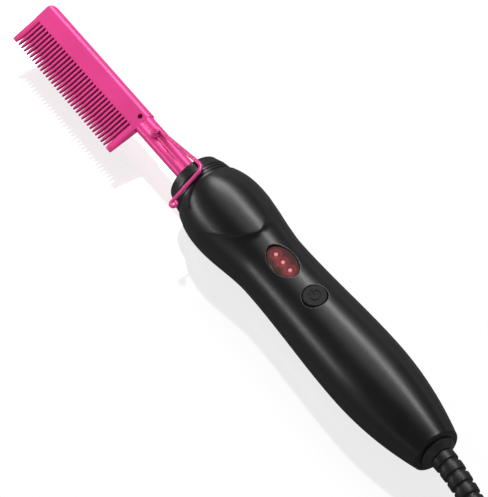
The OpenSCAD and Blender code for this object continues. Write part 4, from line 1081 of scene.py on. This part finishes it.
# ---------------------------------------------------------------------------
# Pivot screw: a small domed screw through the neck, anodised pink, that the wire rest turns on.
pivot_at, pivot_y = comb_at - 0.0090, 0.0006
wire_radius, pivot_radius, pivot_head = 0.0009, 0.00085, 0.0017
head_side, head_dome = 0.0005, 0.0005
eye_radius = pivot_radius + 0.00005 + wire_radius
eye_height = lobe_radius + 0.0001 + wire_radius
head_low = eye_height + wire_radius + 0.00005
pivot_axis = rear_end + Vector((-pivot_at, pivot_y, 0))
pivot_outline = [(-lobe_radius, pivot_radius), (head_low, pivot_radius),
                 (head_low, pivot_head - 0.0001), (head_low + 0.0001, pivot_head),
                 (head_low + head_side, pivot_head)]
cross_half, cross_reach, cross_depth = 0.00022, 0.0010, 0.0004


def crossed(x, y):
    """Share of the depth of the cross recess at a place on the screw's head."""
    near, far = sorted((abs(x), abs(y)))
    return ease(0.5 - max(near - cross_half, far - cross_reach) / 0.0001)


screw_rings = upright_rings(pivot_axis, pivot_outline, 96)
for i in range(1, 25):
    r = pivot_head * (1 - i / 24)
    crown = head_low + head_side + head_dome * math.sqrt(max(1 - (r / pivot_head) ** 2, 0))
    spots = [(r * c, r * d) for c, d in around(96)]
    screw_rings.append([pivot_axis + Vector((x, y, crown - cross_depth * crossed(x, y)))
                        for x, y in spots])
screw_paint = anodised("pink_screw", (0.78, 0.06, 0.27), 0.34, (900.0, 900.0, 900.0), 0.35)
piece("pivot_screw_head", *rolled(*loft(screw_rings)), "root", "pink_screw", screw_paint,
      ["pivot_screw"], 30)

# ---------------------------------------------------------------------------
# Wire rest: one steel wire, coated pink, 1.8 mm thick: an eye round the screw, a leg, a crossbar
# that stands on the table when it is swung down, and a small curl.
bar_high, bar_length, bar_lean = 0.017, 0.022, math.radians(9.5)
leg_length, corner_y = 0.036, 0.0051
bend_radius, curl_radius = 0.0044, 0.0013
foot = 0.002
eye_middle = pivot_axis + Vector((0, 0, eye_height))
corner = pivot_axis + Vector((leg_length, corner_y - pivot_y, bar_high))
leg_foot = eye_middle + Vector((foot, eye_radius, 0))
leg_way = (corner - leg_foot).normalized()
bar_way = Vector((math.sin(bar_lean), -math.cos(bar_lean), 0))
bar_across = Vector((math.cos(bar_lean), math.sin(bar_lean), 0))
curl_middle = corner + bar_length * bar_way + curl_radius * bar_across
wire_path = []
for i in range(28):
    a = math.radians(90 + 270 * (1 - i / 27))
    wire_path.append(eye_middle + eye_radius * Vector((math.cos(a), math.sin(a), 0)))
foot_start, foot_end = leg_foot - Vector((0.7 * foot, 0, 0)), leg_foot + 0.7 * foot * leg_way
for i in range(1, 9):
    t = i / 8
    wire_path.append(foot_start * (1 - t) ** 2 + leg_foot * 2 * t * (1 - t) + foot_end * t * t)
bend_start, bend_end = corner - bend_radius * leg_way, corner + bend_radius * bar_way
for i in range(13):
    t = i / 12
    wire_path.append(bend_start * (1 - t) ** 2 + corner * 2 * t * (1 - t) + bend_end * t * t)
for i in range(25):
    a = math.radians(270 * i / 24)
    wire_path.append(curl_middle + curl_radius * (math.sin(a) * bar_way - math.cos(a) * bar_across))
wire_rings = []
wire_sides = 24
for i, spot in enumerate(wire_path):
    way = (wire_path[min(i + 1, len(wire_path) - 1)] - wire_path[max(i - 1, 0)]).normalized()
    wire_rings.append(ring_about(spot, way, wire_radius, wire_sides))
wire_paint = anodised("pink_wire", (0.78, 0.070, 0.28), 0.26, (300.0, 300.0, 300.0), 0.35)
piece("wire_rest_rod", *rolled(*loft(wire_rings)), "wire_stand", "pink_metal", wire_paint,
      ["wire_rest"], 40)

# ---------------------------------------------------------------------------
# Plug: a moulded PVC body with a ribbed boot, that holds two nickel-plated blades.
plug_low, plug_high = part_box("plug_body")
boot_length = 0.012
boot_radius, boot_end_radius = cord_diameter / 2 + 0.0008, 0.0065
plug_middle = Vector((0, (plug_low.y + plug_high.y) / 2, plug_axis))
plug_half_width, plug_half_height = (plug_high.y - plug_low.y) / 2, plug_axis
plug_corner = 0.004


def rounded_ring(x, half_y, half_z, corner_radius, sides=64):
    """A rectangle with round corners across the cord, at even angles."""
    ring = []
    for k in range(sides):
        a = 2 * math.pi * (k + 0.5) / sides
        sy, sz = math.copysign(1, math.cos(a)), math.copysign(1, math.sin(a))
        quarter = (a % (math.pi / 2)) / (math.pi / 2)
        if sy * sz < 0:
            quarter = 1 - quarter
        turned = math.pi / 2 * min(max((quarter - 0.25) * 2, 0), 1)
        y = half_y - corner_radius * (1 - math.cos(turned))
        z = half_z - corner_radius * (1 - math.sin(turned))
        if quarter < 0.25:
            z = (half_z - corner_radius) * quarter / 0.25
        if quarter > 0.75:
            y = (half_y - corner_radius) * (1 - quarter) / 0.25
        ring.append(plug_middle + Vector((x, sy * y, sz * z)))
    return ring


plug_rings = []
for i in range(5):
    for mark, groove in ((0.0, 0.0006), (0.1, 0), (0.6, 0), (0.7, 0.0006)):
        t = (i + mark) / 5
        wide = boot_radius + (boot_end_radius - boot_radius) * t - groove
        plug_rings.append(rounded_ring(plug_low.x + boot_length * t, wide, wide, wide * 0.999))
body_start = plug_low.x + boot_length
for depth, inset in ((0.0, 0.003), (0.0008, 0.0014), (0.0022, 0.0004), (0.0045, 0.0),
                     (0.016, 0.0), (0.018, 0.0007), (0.026, 0.0007), (0.028, 0.0),
                     (0.0333, 0.0), (0.0338, 0.0003), (0.0340, 0.0008)):
    plug_rings.append(rounded_ring(body_start + depth, plug_half_width - inset,
                                   plug_half_height - inset, plug_corner - inset * 0.5))
plug_paint = moulded("plug_pvc", (0.02, 0.02, 0.022), 0.45, 700.0)
plug = piece("plug_moulding", *loft(plug_rings), "root", "plug_black", plug_paint,
             ["plug_body"], 30)


# ---------------------------------------------------------------------------
# Small metal pieces, the strap and what lies inside the handle: these keep their CAD form and
# take only their finish.
def dress(node, paint):
    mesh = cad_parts[node].data
    mesh.materials.clear()
    mesh.materials.append(paint)
    mesh.shade_smooth()
    mesh.set_sharp_from_angle(angle=math.radians(32))


steel_paint = anodised("zinc_steel", (0.42, 0.42, 0.43), 0.32, (500.0, 500.0, 500.0), 1.0)
brass_paint = anodised("contact_brass", (0.75, 0.52, 0.22), 0.30, (500.0, 500.0, 500.0), 1.0)
nickel_paint = anodised("nickel_plate", (0.66, 0.64, 0.60), 0.22, (60.0, 900.0, 900.0), 1.0)
# The grub screw is a real part; its dark pink is painted shade, the darkness of the deep hole it sits
# in.
set_screw_shade_paint = anodised("dark_screw", (0.10, 0.012, 0.05), 0.40, (700.0, 700.0, 700.0), 0.8)
for node in ("shell_screws", "board_screws", "flange_screws", "neck_clamp"):
    dress(node, steel_paint)
for node in ("slip_rings", "contact_brushes"):
    dress(node, brass_paint)
dress("plug_blades", nickel_paint)
dress("set_screw", set_screw_shade_paint)
for node, name, colour, *finish in (
        ("ceramic_heater", "heater_ceramic", (0.80, 0.78, 0.72), 0.55, 1800.0),
        ("ceramic_flange", "flange_ceramic", (0.78, 0.75, 0.68), 0.6, 1500.0),
        ("temperature_sensor", "sensor_bead", (0.5, 0.28, 0.1), 0.3, 1200.0),
        ("heater_leads", "white_lead", (0.75, 0.75, 0.74), 0.5, 900.0),
        ("sensor_lead", "red_lead", (0.5, 0.03, 0.02), 0.45, 900.0),
        ("supply_leads", "black_lead", (0.02, 0.02, 0.02), 0.45, 900.0),
        ("insulating_sleeve", "glass_sleeve", (0.72, 0.68, 0.55), 0.7, 2500.0, 0.0001),
        ("circuit_board", "board_green", (0.02, 0.16, 0.06), 0.35, 300.0),
        ("power_components", "component_dark", (0.03, 0.03, 0.04), 0.4, 600.0),
        ("tactile_switch", "switch_black", (0.03, 0.03, 0.03), 0.45, 900.0),
        ("swivel_bush", "bush_acetal", (0.012, 0.012, 0.013), 0.4, 900.0)):
    dress(node, moulded(name, colour, *finish))
for node in ("switch_plunger", "contact_carrier"):
    dress(node, moulded(node + "_plastic", (0.66, 0.63, 0.54), 0.5, 900.0))
dress("cord_tie", moulded("tie_strap", (0.03, 0.03, 0.032), 0.75, 2200.0, 0.00015))
lamp_paint = moulded("lamp_red", (0.55, 0.02, 0.02), 0.25, 900.0)
lamp_shader = lamp_paint.node_tree.nodes["Principled BSDF"]
lamp_shader.inputs["Emission Color"].default_value = (1.0, 0.22, 0.22, 1)
lamp_shader.inputs["Emission Strength"].default_value = 2.0
dress("indicator_lamps", lamp_paint)
